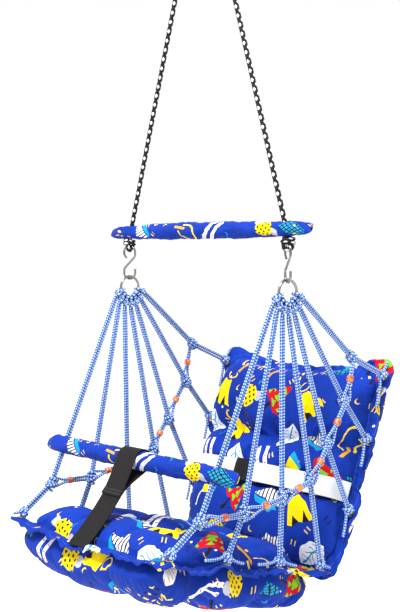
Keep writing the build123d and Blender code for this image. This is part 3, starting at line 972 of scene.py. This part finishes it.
def make_rope(side_name, side, materials):
    material = materials["rope"]
    mirror = Vector((side, 1, 1))
    top, foot = TOP_EYE * mirror, ROPE_FOOT * mirror
    way = (foot - top).normalized()
    start = top + way * (TOP_EYE_REACH - 0.008)
    controls = [start, start + way * 6 * ROPE, foot - way * 6 * ROPE, foot]
    line = evenly(nurbs_line(controls), 0.0025)
    rope = tube(f"rope_{side_name}", line, ROPE / 2, material, 16)
    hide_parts(f"suspension_rope_{side_name}")

    wire_way = Vector((math.cos(TOP_WIRE_TILT), 0, side * math.sin(TOP_WIRE_TILT)))
    across = Vector((0, 1, 0))
    up = wire_way.cross(across)
    up = up if up.z > 0 else -up
    half = [(0.002, -0.020), (0.006, -0.012), (0.0115, -0.003), (0.0100, 0.0105)]
    eye = rope_eye(f"top_eye_{side_name}", top, across, up, half, 0.0135, ROPE * 0.47, material)
    knot_centre = top + way * 0.0188
    turns = wrap_line(knot_centre, way, across, 2.6, 0.0078, 0.0068, 0.0068, 0.5)
    wraps = tube(f"top_wraps_{side_name}", evenly(turns, EYE_STEP), ROPE * 0.46, material)
    top_knot = joined(f"top_knot_{side_name}", [eye, wraps])
    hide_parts(f"rope_top_knot_{side_name}")

    hook_way = Vector((math.cos(HOOK_TWIST), -side * math.sin(HOOK_TWIST), 0))
    eye_low, eye_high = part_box(f"rope_eye_{side_name}")
    eye_centre = (eye_low + eye_high) / 2
    across = hook_way.cross(Vector((0, 0, 1)))
    half = [(0.0015, 0.0125), (0.0060, 0.0075), (0.0088, -0.0010), (0.0065, -0.0085)]
    up = Vector((0, 0, 1))
    low_eye = rope_eye(f"low_eye_{side_name}", eye_centre, across, up, half, -0.0096, 0.0041, material)
    turns = wrap_line(eye_centre + up * 0.0058, up, across, 1.75, 0.0096, 0.0086, 0.0056, 1.2)
    low_wraps = tube(f"low_wraps_{side_name}", evenly(turns, EYE_STEP), 0.0040, material)
    low_knot = joined(f"low_knot_{side_name}", [low_eye, low_wraps])
    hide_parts(f"rope_eye_{side_name}")

    for piece in (rope, top_knot, low_knot):
        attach(piece, "spreader")


# --- Cushions ----------------------------------------------------------------------------------

PAD_CORNER = 0.055
PAD_COLUMNS = 96
PAD_ROWS = 90
PAD_PRESSURE = 4.0
LARGEST_SWELL = 0.010
SIM_FRAMES = 20
REAR_PRINT_SHIFT = np.array([0.031, 0.517])  # so that a cushion's two faces show other motifs
GATHER_PITCH = 0.021  # between the small folds along a seam
EDGE_GATHER = 0.0034  # the folds' depth at the sewn edge
SEAM_GATHER = 0.0026  # and along the seams

# The quilting pulls a face in: each pull's depth as a share of the height, and its reach, which is
# a share of the length for seams, of the half width for columns, and metres for tufts
SEAM_PULL, SEAM_REACH = 0.70, 0.040
COLUMN_PULL, COLUMN_REACH = 0.46, 0.080
TUFT_PULL, TUFT_REACH = 0.93, 0.024
REAR_PULL = 0.6  # the rear face's share of these
TUFT_RADIUS = 0.007


def rounded(x, y, half_x, half_y, corner):
    """A point of the rectangle's edge pulled in to the rounded outline."""
    inner_x, inner_y = half_x - corner, half_y - corner
    if abs(x) <= inner_x or abs(y) <= inner_y:
        return 1.0
    cx, cy = math.copysign(inner_x, x), math.copysign(inner_y, y)
    a, b, c = x * x + y * y, -2 * (x * cx + y * cy), cx * cx + cy * cy - corner * corner
    share = (-b + math.sqrt(max(0.0, b * b - 4 * a * c))) / (2 * a)
    return share if min(abs(x * share) - inner_x, abs(y * share) - inner_y) > 0 else 1.0


def pulled_up(pad, y):
    """1 beside an eyelet, where a cord holds the hem up, and 0 between eyelets."""
    return max(math.exp(-(((y - eyelet) / 0.030) ** 2)) for eyelet in pad["eyelets"])


def pad_sag(pad, x, y):
    """How far the cushion's sewn edge hangs below the cords' line, between two eyelets."""
    half = pad["pad"][0] / 2
    side_share = min(1.0, abs(x) / half) ** 6
    end_share = 1 - side_share
    wave = 0.5 + 0.5 * math.sin(x * 34 + pad["seed"] + y * 9)
    front_share = max(0.0, 1 - y / pad["hem"][1]) ** 4
    middle = 1 - min(1.0, abs(x) / half) ** 2
    edge_wave = side_share * (1 - pulled_up(pad, y)) + end_share * 0.55 * wave
    return -pad["sag"] * edge_wave - pad["front_sag"] * front_share * middle


def drawn_in(pad, x, y):
    """How a point near the edge shifts in the cloth's own plane: the cords leave the sides to
    pull in between eyelets, and the free top edge hangs down in a curve."""
    half, length = pad["pad"][0] / 2, pad["hem"][1]
    side_share = min(1.2, abs(x) / half) ** 5
    inward = pad["waist"] * side_share * (1 - pulled_up(pad, y))
    up = min(1.0, max(0.0, y / length))
    dip = pad["top_dip"] * (1 - min(1.0, abs(x) / half) ** 2) * up**4
    front = pad["front_dip"] * (1 - min(1.0, abs(x) / half) ** 2) * (1 - up) ** 4
    return x - math.copysign(inward, x), y - dip - front


def quilted(pad, u, v, front):
    """The quilted height over a pad, as a share of its full rise. u and v run from -1 to 1."""
    power, round_off = (3.2, 0.44) if front else (4.6, 0.34)
    full = (max(0.0, 1 - abs(u) ** power) * max(0.0, 1 - abs(v) ** power)) ** round_off
    share = (v + 1) / 2
    pull = 0.0
    for seam in pad["seams"]:
        arc = 0.016 * math.cos(u * math.pi * 2)
        pull = max(pull, SEAM_PULL * math.exp(-abs(share - seam + arc) / SEAM_REACH))
    for column in pad["columns"]:
        pull = max(pull, COLUMN_PULL * math.exp(-abs(u - column) / COLUMN_REACH))
    for tuft_u, tuft_v in pad["tufts"]:
        gap_x = (u - tuft_u) * pad["pad"][0] / 2
        gap_y = (share - tuft_v) * pad["pad"][1]
        pull = max(pull, TUFT_PULL * math.exp(-math.hypot(gap_x, gap_y) / TUFT_REACH))
    return full * (1 - pull * (1.0 if front else REAR_PULL))


def hung_over(pad, x, y, rise, edge_share, front):
    """A point of the cover near its sewn edge, pushed out past the seam by the filling."""
    half_x, half_y = pad["pad"][0] / 2, pad["pad"][1] / 2
    sides = pad["overhang"][0 if front else 1]
    end = pad["rear_overhang"] if y > 0 and not front else sides
    fullness = 4 * rise * (1 - rise) * edge_share**3
    if front:
        fullness *= 1 - 0.7 * pulled_up(pad, y + half_y + HEM_BAND) * min(1.0, abs(x) / half_x) ** 6
    return x * (1 + sides / half_x * fullness), y * (1 + end / half_y * fullness)


def spaced(index, count):
    """A grid line's place, from -1 to 1: the lines are closer together near the edges."""
    even = 2 * index / (count - 1) - 1
    crowded = math.sin(math.pi / 2 * even * 0.999) / math.sin(math.pi / 2 * 0.999)
    return 0.4 * even + 0.6 * crowded


def pad_grid(pad, front, columns, rows):
    """A cushion's face: its points on the pad's own axes, the same points without the small folds,
    and how tightly each is sewn, from 0 to 1."""
    half_x, half_y = pad["pad"][0] / 2, pad["pad"][1] / 2
    height = pad["rise"] if front else -pad["drop"]
    points, smooth, sewn = [], [], []
    for i in range(rows):
        for j in range(columns):
            u, v = spaced(j, columns), spaced(i, rows)
            m = max(abs(u), abs(v))
            edge_x, edge_y = (u / m * half_x, v / m * half_y) if m > 0 else (half_x, 0)
            share = rounded(edge_x, edge_y, half_x, half_y, PAD_CORNER)
            scale = 1 + (share - 1) * m**3
            x, y = u * half_x * scale, v * half_y * scale
            rise = quilted(pad, u, v, front)
            x, y = hung_over(pad, x, y, rise, m, front)
            edge = math.exp(-(1 - m) * half_x / 0.034)
            walk = x if abs(v) >= abs(u) else y
            stray = 3.0 * wander(x * 22, y * 22, pad["seed"] + 11)
            fold = EDGE_GATHER * edge * math.sin(2 * math.pi * walk / GATHER_PITCH + stray)
            for seam in pad["seams"]:
                near = math.exp(-abs((v + 1) / 2 - seam) * pad["pad"][1] / 0.022)
                fold += SEAM_GATHER * near * math.sin(2 * math.pi * x / GATHER_PITCH + 2 * stray)
            lump = wander(x * 14, y * 14, pad["seed"] + front * 7)
            z = height * rise * 0.96 + math.copysign(0.004 * lump * rise, height)
            middle = HEM_BAND + half_y
            z += pad_sag(pad, x, y + middle) * m**4
            place = drawn_in(pad, x, y + middle)
            points.append((*place, z + math.copysign(fold * min(1, rise * 3), height)))
            smooth.append((*place, z))
            tuft = 0.0
            for tuft_u, tuft_v in pad["tufts"]:
                gap = math.hypot((u - tuft_u) * half_x, ((v + 1) / 2 - tuft_v) * pad["pad"][1])
                tuft = max(tuft, 1.0 if gap < TUFT_RADIUS else 0.0)
            seam = max((math.exp(-abs((v + 1) / 2 - s) / 0.012) for s in pad["seams"]), default=0)
            sewn.append(1.0 if m > 0.999 else max(tuft, 0.55 * seam))
    shape = (rows, columns, 3)
    return np.array(points).reshape(shape), np.array(smooth).reshape(shape), np.array(sewn)


def cloth_places(grid):
    """Flat places for a face's points: its true lengths from the middle row and column."""
    rows, columns = grid.shape[:2]
    u = np.zeros((rows, columns))
    v = np.zeros((rows, columns))
    u[:, 1:] = np.cumsum(np.linalg.norm(np.diff(grid, axis=1), axis=2), axis=1)
    v[1:] = np.cumsum(np.linalg.norm(np.diff(grid, axis=0), axis=2), axis=0)
    u -= u[:, columns // 2 : columns // 2 + 1]
    v -= v[rows // 2 : rows // 2 + 1]
    return np.stack([u, v], axis=2)


def coordinates(mesh):
    places = np.zeros(len(mesh.vertices) * 3)
    mesh.vertices.foreach_get("co", places)
    return places.reshape(-1, 3)


def swell(piece, sewn, pressure, cap):
    """Cloth simulation: pressure fills the cover, which stays held where it is sewn."""
    rest = coordinates(piece.data)
    group = piece.vertex_groups.new(name="sewn")
    for index, share in enumerate(sewn):
        if share > 0.02:
            group.add([index], float(share), "REPLACE")
    cloth = piece.modifiers.new("cloth", "CLOTH")
    settings = cloth.settings
    settings.quality = 6
    settings.mass = 0.2
    settings.tension_stiffness = 14
    settings.compression_stiffness = 14
    settings.shear_stiffness = 5
    settings.bending_stiffness = 0.15
    settings.vertex_group_mass = "sewn"
    settings.shrink_min = -0.09
    settings.use_pressure = True
    settings.uniform_pressure_force = pressure
    settings.effector_weights.gravity = 0
    cloth.collision_settings.use_collision = False
    cloth.point_cache.frame_end = SIM_FRAMES
    for step in range(1, SIM_FRAMES + 1):
        scene.frame_set(step)
    evaluated = piece.evaluated_get(bpy.context.evaluated_depsgraph_get())
    moved = coordinates(evaluated.data) - rest
    size = np.linalg.norm(moved, axis=1)
    moved *= (np.minimum(size, cap) / np.maximum(size, 1e-9))[:, None]
    piece.modifiers.remove(cloth)
    piece.data.vertices.foreach_set("co", (rest + moved).ravel())
    piece.data.update()
    scene.frame_set(1)


def to_frame(pad, places):
    axes = np.array([Vector((1, 0, 0)), pad["along"], pad["normal"]])
    return places @ axes + np.array(pad["origin"])


def make_pad(pad, materials):
    """A quilted cushion: front and rear faces sewn together round the edge, filled by pressure."""
    halves, sewn = [], []
    for front in (True, False):
        grid, smooth_grid, held = pad_grid(pad, front, PAD_COLUMNS, PAD_ROWS)
        cloth = cloth_places(smooth_grid)
        if not front:
            grid, cloth = grid[:, ::-1], cloth[:, ::-1] + REAR_PRINT_SHIFT
            held = held.reshape(PAD_ROWS, PAD_COLUMNS)[:, ::-1].ravel()
        halves.append(surface(f"{pad['name']}_half", to_frame(pad, grid), cloth, materials["pad"]))
        sewn.append(held)
    piece = joined(f"{pad['name']}_cushion", halves)
    swell(piece, np.concatenate(sewn), PAD_PRESSURE, LARGEST_SWELL)
    add_weld(piece, 0.0004)
    smooth = piece.modifiers.new("smooth", "SUBSURF")
    smooth.levels = smooth.render_levels = 1
    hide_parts(f"{pad['name']}_cover", f"{pad['name']}_filling")
    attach(piece, "seat")
    return piece


HEM_TUCK = 0.985  # the hem starts just inside the cushion's edge
FLAT_REACH = 0.015  # the hem lies flat this near an eyelet
HEM_POINTS = 520  # round a cushion
HEM_ACROSS = 11
HEM_THICKNESS = 0.0024
EYELET_HOLE = 0.0055  # radius of the opening in the cloth
LOWEST_DROOP = -0.011


def make_hem(pad, materials):
    """The ruffled double band round a cushion, open at its eyelets."""
    half_x, half_y = pad["pad"][0] / 2, pad["pad"][1] / 2
    wide_x, wide_y = pad["hem"][0] / 2, pad["hem"][1] / 2
    pad_middle, hem_middle = HEM_BAND + half_y, wide_y
    count, across = HEM_POINTS, HEM_ACROSS
    around = []
    for turn in np.arange(count) * (2 * math.pi / count):
        cx, cy = math.cos(turn), math.sin(turn)
        m = max(abs(cx), abs(cy))
        around.append((cx / m, cy / m))
    grid = np.zeros((count, across, 3))
    for k, (cx, cy) in enumerate(around):
        inner = rounded(cx * half_x, cy * half_y, half_x, half_y, PAD_CORNER)
        corner = pad["hem_corners"][0 if cy < 0 else 1]
        outer = rounded(cx * wide_x, cy * wide_y, wide_x, wide_y, corner)
        start = Vector((cx * half_x * inner * HEM_TUCK, cy * half_y * inner * HEM_TUCK + pad_middle))
        end = Vector((cx * wide_x * outer, cy * wide_y * outer + hem_middle))
        for j in range(across):
            share = j / (across - 1)
            x, y = start.lerp(end, share)
            near = 0.0
            for eyelet in pad["eyelets"]:
                gap = math.hypot(abs(x) - pad["eyelet_x"], y - eyelet)
                near = max(near, math.exp(-((gap / FLAT_REACH) ** 4)))
            free = 1 - near
            walk = k * 2 * (wide_x + wide_y) * 2 / count
            ripple = wander(walk * 21, share * 0.8, pad["seed"])
            fine = wander(walk * 75, share * 1.5, pad["seed"] + 4)
            spread = math.hypot(end.x - start.x, end.y - start.y)
            frill = 1 - min(1.0, max(0.0, (spread - 0.028) / 0.02)) * 0.8  # less where it's wide
            droop = frill * (-0.006 * share**1.4 + 0.014 * ripple * share**1.2)
            droop = max(LOWEST_DROOP, droop + 0.0070 * fine * (0.2 + share))
            z = free * (pad_sag(pad, start.x, start.y) + droop)
            pull = 0.0036 * wander(walk * 46, 3.1, pad["seed"]) * share * free
            away = unit(np.array([end.x - start.x, end.y - start.y + 1e-6]))
            x, y = drawn_in(pad, x, y)
            grid[k, j] = (x + away[0] * pull, y + away[1] * pull, z)
    walked = lengths_along(np.vstack([grid[:, across // 2], grid[:1, across // 2]]))
    closed = np.concatenate([grid, grid[:1]])
    width = np.linalg.norm(np.diff(closed, axis=1), axis=2)
    v = np.concatenate([np.zeros((count + 1, 1)), np.cumsum(width, axis=1)], axis=1)
    cloth = np.stack([np.repeat(walked[:, None], across, axis=1), v], axis=2)

    def in_eyelet(middle):
        for eyelet in pad["eyelets"]:
            for side in (-1, 1):
                place = in_frame(pad, side * pad["eyelet_x"], eyelet, 0)
                if np.linalg.norm(middle - np.array(place)) < EYELET_HOLE:
                    return True
        return False

    places = to_frame(pad, closed)
    piece = surface(f"{pad['name']}_border", places, cloth, materials["hem"], skip=in_eyelet)
    add_weld(piece, 0.0002)
    add_thickness(piece, HEM_THICKNESS, 0)
    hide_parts(f"{pad['name']}_hem")
    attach(piece, "seat")


# --- Bar sleeves -------------------------------------------------------------------------------

FLAP_TURN = math.radians(62)  # of the sleeves' pressed ends, from level
FLAP_WIDTH = 0.0256
FLAP_THICKNESS = 0.0038
SLEEVE_STEP = 0.0028
SLEEVE_AROUND = 44
SLEEVE_THICKNESS = 0.0008


def make_sleeve(bar, middle_radius, end_radius, holes, hole_radius, seed, materials):
    """A printed cloth tube on a bar's dowel: wrinkled, and pressed flat and sewn shut at its two
    ends. holes has a place and a direction for each cord or rope that goes through."""
    low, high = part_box(f"{bar}_sleeve")
    centre = (low + high) / 2
    length = high.x - low.x
    dowel_low, dowel_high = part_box(f"{bar}_dowel")
    half = (dowel_high.x - dowel_low.x) / 2 + 0.001
    count, around = int(length / SLEEVE_STEP), SLEEVE_AROUND
    turn = np.arange(around) * (2 * math.pi / around)
    grid = np.zeros((count + 1, around, 3))
    for i in range(count + 1):
        x = -length / 2 + length * i / count
        inside = min(abs(x), half)
        share = min(1.0, max(0.0, (inside - half / 3) / (half * 2 / 3)))  # 0 in the middle third
        radius = middle_radius + (end_radius - middle_radius) * share
        past = max(0.0, (abs(x) - half) / (length / 2 - half))
        flat = past**0.75
        for j, a in enumerate(turn):
            folds = wander(x * 26 + seed, math.cos(a) * 1.3, math.sin(a) * 1.3)
            creases = wander(x * 90 + seed, math.cos(a) * 2.6 + x * 30, math.sin(a) * 2.6)
            r = radius + 0.0028 * folds + 0.0015 * creases - 0.0009
            gather = 0.0009 * math.sin(a * 9 + seed) * min(1.0, past * 3 + 0.15) * (1 - past)
            wide = (r + gather) * (1 - flat) + FLAP_WIDTH / 2 * flat * (1 - 0.42 * past**2)
            thin = (r + gather) * (1 - flat) + FLAP_THICKNESS / 2 * flat
            across, over = wide * math.cos(a), thin * math.sin(a)
            grid[i, j] = (
                centre.x + x,
                centre.y + across * math.cos(FLAP_TURN) - over * math.sin(FLAP_TURN),
                centre.z + across * math.sin(FLAP_TURN) + over * math.cos(FLAP_TURN),
            )
    arc = (np.arange(around + 1) / around) * 2 * math.pi * middle_radius
    station = np.linspace(-length / 2, length / 2, count + 1)
    cloth = np.stack(np.broadcast_arrays(station[:, None], arc[None, :]), axis=2)

    def in_hole(middle):
        for place, way in holes:
            gap = middle - np.array(place)
            gap = gap - np.array(way) * (gap @ np.array(way))
            if np.linalg.norm(gap) < hole_radius:
                return True
        return False

    piece = surface(f"{bar}_cloth", grid, cloth, materials["sleeve"], wrap=True, skip=in_hole)
    add_thickness(piece, SLEEVE_THICKNESS, -1)
    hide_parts(f"{bar}_sleeve")
    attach(piece, bar)
    flat = (length, 2 * math.pi * middle_radius)


def make_sleeves(materials):
    rope_holes, cord_holes = [], []
    for side in SIDES.values():
        mirror = Vector((side, 1, 1))
        foot = ROPE_FOOT * mirror
        rope_holes.append((foot, (foot - TOP_EYE * mirror).normalized()))
        points, _ = net_cord(side, 0)
        start, end = (points[5] + points[14]) / 2, (points[6] + points[13]) / 2
        cord_holes.append((start, (end - start).normalized()))
    make_sleeve("spreader", 0.0161, 0.0124, rope_holes, 0.0046, 3.0, materials)
    make_sleeve("front_bar", 0.0172, 0.0167, cord_holes, 0.0062, 8.0, materials)


# --- Straps ------------------------------------------------------------------------------------

FLAT_POINTS = 17  # across each face of a ribbon
EDGE_POINTS = 3  # round each of its edges


def ribbon(name, line, wide, width, thickness, material):
    """Flat webbing along a line, with rounded edges."""
    tangents = np.gradient(line, axis=0)
    tangents /= np.linalg.norm(tangents, axis=1)[:, None]
    wide = np.array(wide, float)
    out = np.cross(tangents, wide)
    out /= np.linalg.norm(out, axis=1)[:, None]
    edge = thickness / 2
    flat = width / 2 - edge
    across = [2 * flat * k / (FLAT_POINTS - 1) for k in range(FLAT_POINTS)]
    bend = [0.8, 0.0, -0.8]
    profile = [(-flat + x, edge) for x in across]
    profile += [(flat + edge * math.cos(a), edge * math.sin(a)) for a in bend]
    profile += [(flat - x, -edge) for x in across]
    profile += [(-flat - edge * math.cos(a), edge * math.sin(a)) for a in reversed(bend)]
    profile = np.array(profile)
    grid = (
        line[:, None]
        + wide[None, None] * profile[:, 0][None, :, None]
        + out[:, None] * profile[:, 1][None, :, None]
    )
    around = np.append(profile[:, 0], profile[0, 0])
    grid, cloth = closed_flat(grid, places_over(around, lengths_along(line)))
    return surface(name, grid, cloth, material, wrap=True)


def closed_flat(grid, cloth):
    """Closes a flat band's two ends by bringing its two faces together there."""
    count = grid.shape[1]
    mates = np.array([(count - 1 - EDGE_POINTS - j) % count for j in range(count)])
    start = (grid[0] + grid[0][mates]) / 2
    end = (grid[-1] + grid[-1][mates]) / 2
    back = unit(grid[0].mean(0) - grid[1].mean(0)) * 0.0006
    on = unit(grid[-1].mean(0) - grid[-2].mean(0)) * 0.0006
    grid = np.concatenate([[start + back], grid, [end + on]])
    return grid, np.concatenate([cloth[:1], cloth, cloth[-1:]])


STRAP_WIDTH = 0.050
LOOP_RADIUS = 0.0198  # of the strap's loop round the front bar
LOOP_DROP = 0.062  # from the bar's axis to where the loop's two sides meet
LOOP_STEPS = 25
LEG_STEPS = 40
LEG_BOW = 0.004


def make_strap(materials):
    """The crotch strap: a loop round the front bar, sewn to a leg that rises from the seat's front."""
    low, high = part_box("front_bar_sleeve")
    bar = (low + high) / 2
    foot = SEAT["origin"] + Vector((0, -0.004, -0.014))
    way = (bar - foot).normalized()
    side = Vector((0, -way.z, way.y))
    joint = bar - way * LOOP_DROP
    turn = math.pi - math.acos(LOOP_RADIUS / LOOP_DROP)
    front, back = (bar + way_round(way, side, angle) * LOOP_RADIUS for angle in (turn, -turn))
    loop = [joint + side * 0.0016 - way * 0.016, joint + side * 0.0018]
    loop += [joint.lerp(front, share) for share in (0.35, 0.7)]
    for k in range(LOOP_STEPS + 1):
        loop.append(bar + way_round(way, side, turn * (1 - 2 * k / LOOP_STEPS)) * LOOP_RADIUS)
    loop += [joint.lerp(back, share) for share in (0.7, 0.35)]
    loop += [joint - side * 0.0018, joint - side * 0.0016 - way * 0.016]
    leg = []
    for share in np.linspace(1, 0, LEG_STEPS + 1):
        leg.append(foot.lerp(joint + way * 0.006, share) - side * LEG_BOW * math.sin(math.pi * share))
    loop_line, leg_line = evenly(np.array(loop), 0.003), np.array(leg)
    upper = ribbon("strap_upper", loop_line, (1, 0, 0), STRAP_WIDTH, 0.0020, materials["strap"])
    lower = ribbon("strap_lower", leg_line, (1, 0, 0), STRAP_WIDTH, 0.0022, materials["strap"])
    strap = joined("strap", [upper, lower])
    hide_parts("crotch_strap")
    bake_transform(strap)


def way_round(way, side, angle):
    return way * math.cos(angle) + side * math.sin(angle)


def bridged(heights):
    """The lowest line over these heights that never dips between two higher places."""
    hull = []
    for k, height in enumerate(heights):
        while len(hull) > 1:
            (a, high_a), (b, high_b) = hull[-2:]
            if (high_b - high_a) * (k - b) <= (height - high_b) * (b - a):
                hull.pop()
            else:
                break
        hull.append((k, height))
    return np.interp(range(len(heights)), [k for k, _ in hull], [h for _, h in hull])


BELT_UP = 0.165  # along the backrest, from its foot
BELT_REACH = 0.199  # from the backrest's middle to where a half is sewn on
BELT_WIDTH = 0.038
BELT_THICKNESS = 0.0018
BELT_STATIONS = 134
PATCH_LEFT = -0.064
PATCH_RIGHT = -0.014


def make_belt(cushion, materials):
    """Two white elastic halves across the backrest, joined at a hook-and-loop patch."""
    tree = BVHTree.FromObject(cushion, bpy.context.evaluated_depsgraph_get())
    stations = np.linspace(-BELT_REACH, BELT_REACH, BELT_STATIONS)
    heights = []
    for x in stations:
        best = 0.003
        for step in (-0.018, -0.009, 0, 0.009, 0.018):
            start = in_frame(BACKREST, x, BELT_UP + step, 0.2)
            place, _, _, _ = tree.ray_cast(start, -BACKREST["normal"])
            if place is not None:
                best = max(best, (place - BACKREST["origin"]).dot(BACKREST["normal"]))
        heights.append(best)
    heights = bridged(np.array(heights))
    smooth = np.convolve(np.pad(heights, 3, mode="edge"), np.ones(7) / 7, mode="valid")
    levels = np.maximum(heights, smooth) + 0.0019
    levels[0] = levels[-1] = 0.0045
    line = np.array([in_frame(BACKREST, x, BELT_UP, level) for x, level in zip(stations, levels)])
    wide = BACKREST["along"]
    left = evenly(line[stations <= PATCH_LEFT], 0.003)
    right = evenly(line[stations >= PATCH_RIGHT], 0.003)
    middle = evenly(line[(stations >= PATCH_LEFT) & (stations <= PATCH_RIGHT)], 0.002)
    white, black = materials["belt"], materials["patch"]
    belts = {
        "belt_left": ribbon("waist_belt_left", left, wide, BELT_WIDTH, BELT_THICKNESS, white),
        "belt_right": ribbon("waist_belt_right", right, wide, BELT_WIDTH, BELT_THICKNESS, white),
        "belt_patch": ribbon("waist_belt_patch", middle, wide, BELT_WIDTH + 0.006, 0.0022, black),
    }
    for node, piece in belts.items():
        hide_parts(node)
        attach(piece, "seat")


# --- Carried-over parts ------------------------------------------------------------------------

HARD_PARTS = {
    "steel": ["hanging_ring", "s_hook_left", "s_hook_right", "seat_ring_left", "seat_ring_right"],
    "brass": ["seat_eyelets", "backrest_eyelets"],
    "beads": ["rail_beads_left", "rail_beads_right"],
    "dowel": ["spreader_dowel", "front_bar_dowel"],
}


def finish_hard_parts(materials):
    for material, nodes in HARD_PARTS.items():
        for node in nodes:
            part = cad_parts[node]
            part.data.materials.clear()
            part.data.materials.append(materials[material])


make_camera()
materials = make_materials()
make_net(materials)
for side_name, side in SIDES.items():
    make_rope(side_name, side, materials)
make_studio()
make_pad(SEAT, materials)
backrest_cushion = make_pad(BACKREST, materials)
make_hem(SEAT, materials)
make_hem(BACKREST, materials)
make_sleeves(materials)
make_strap(materials)
make_belt(backrest_cushion, materials)
finish_hard_parts(materials)
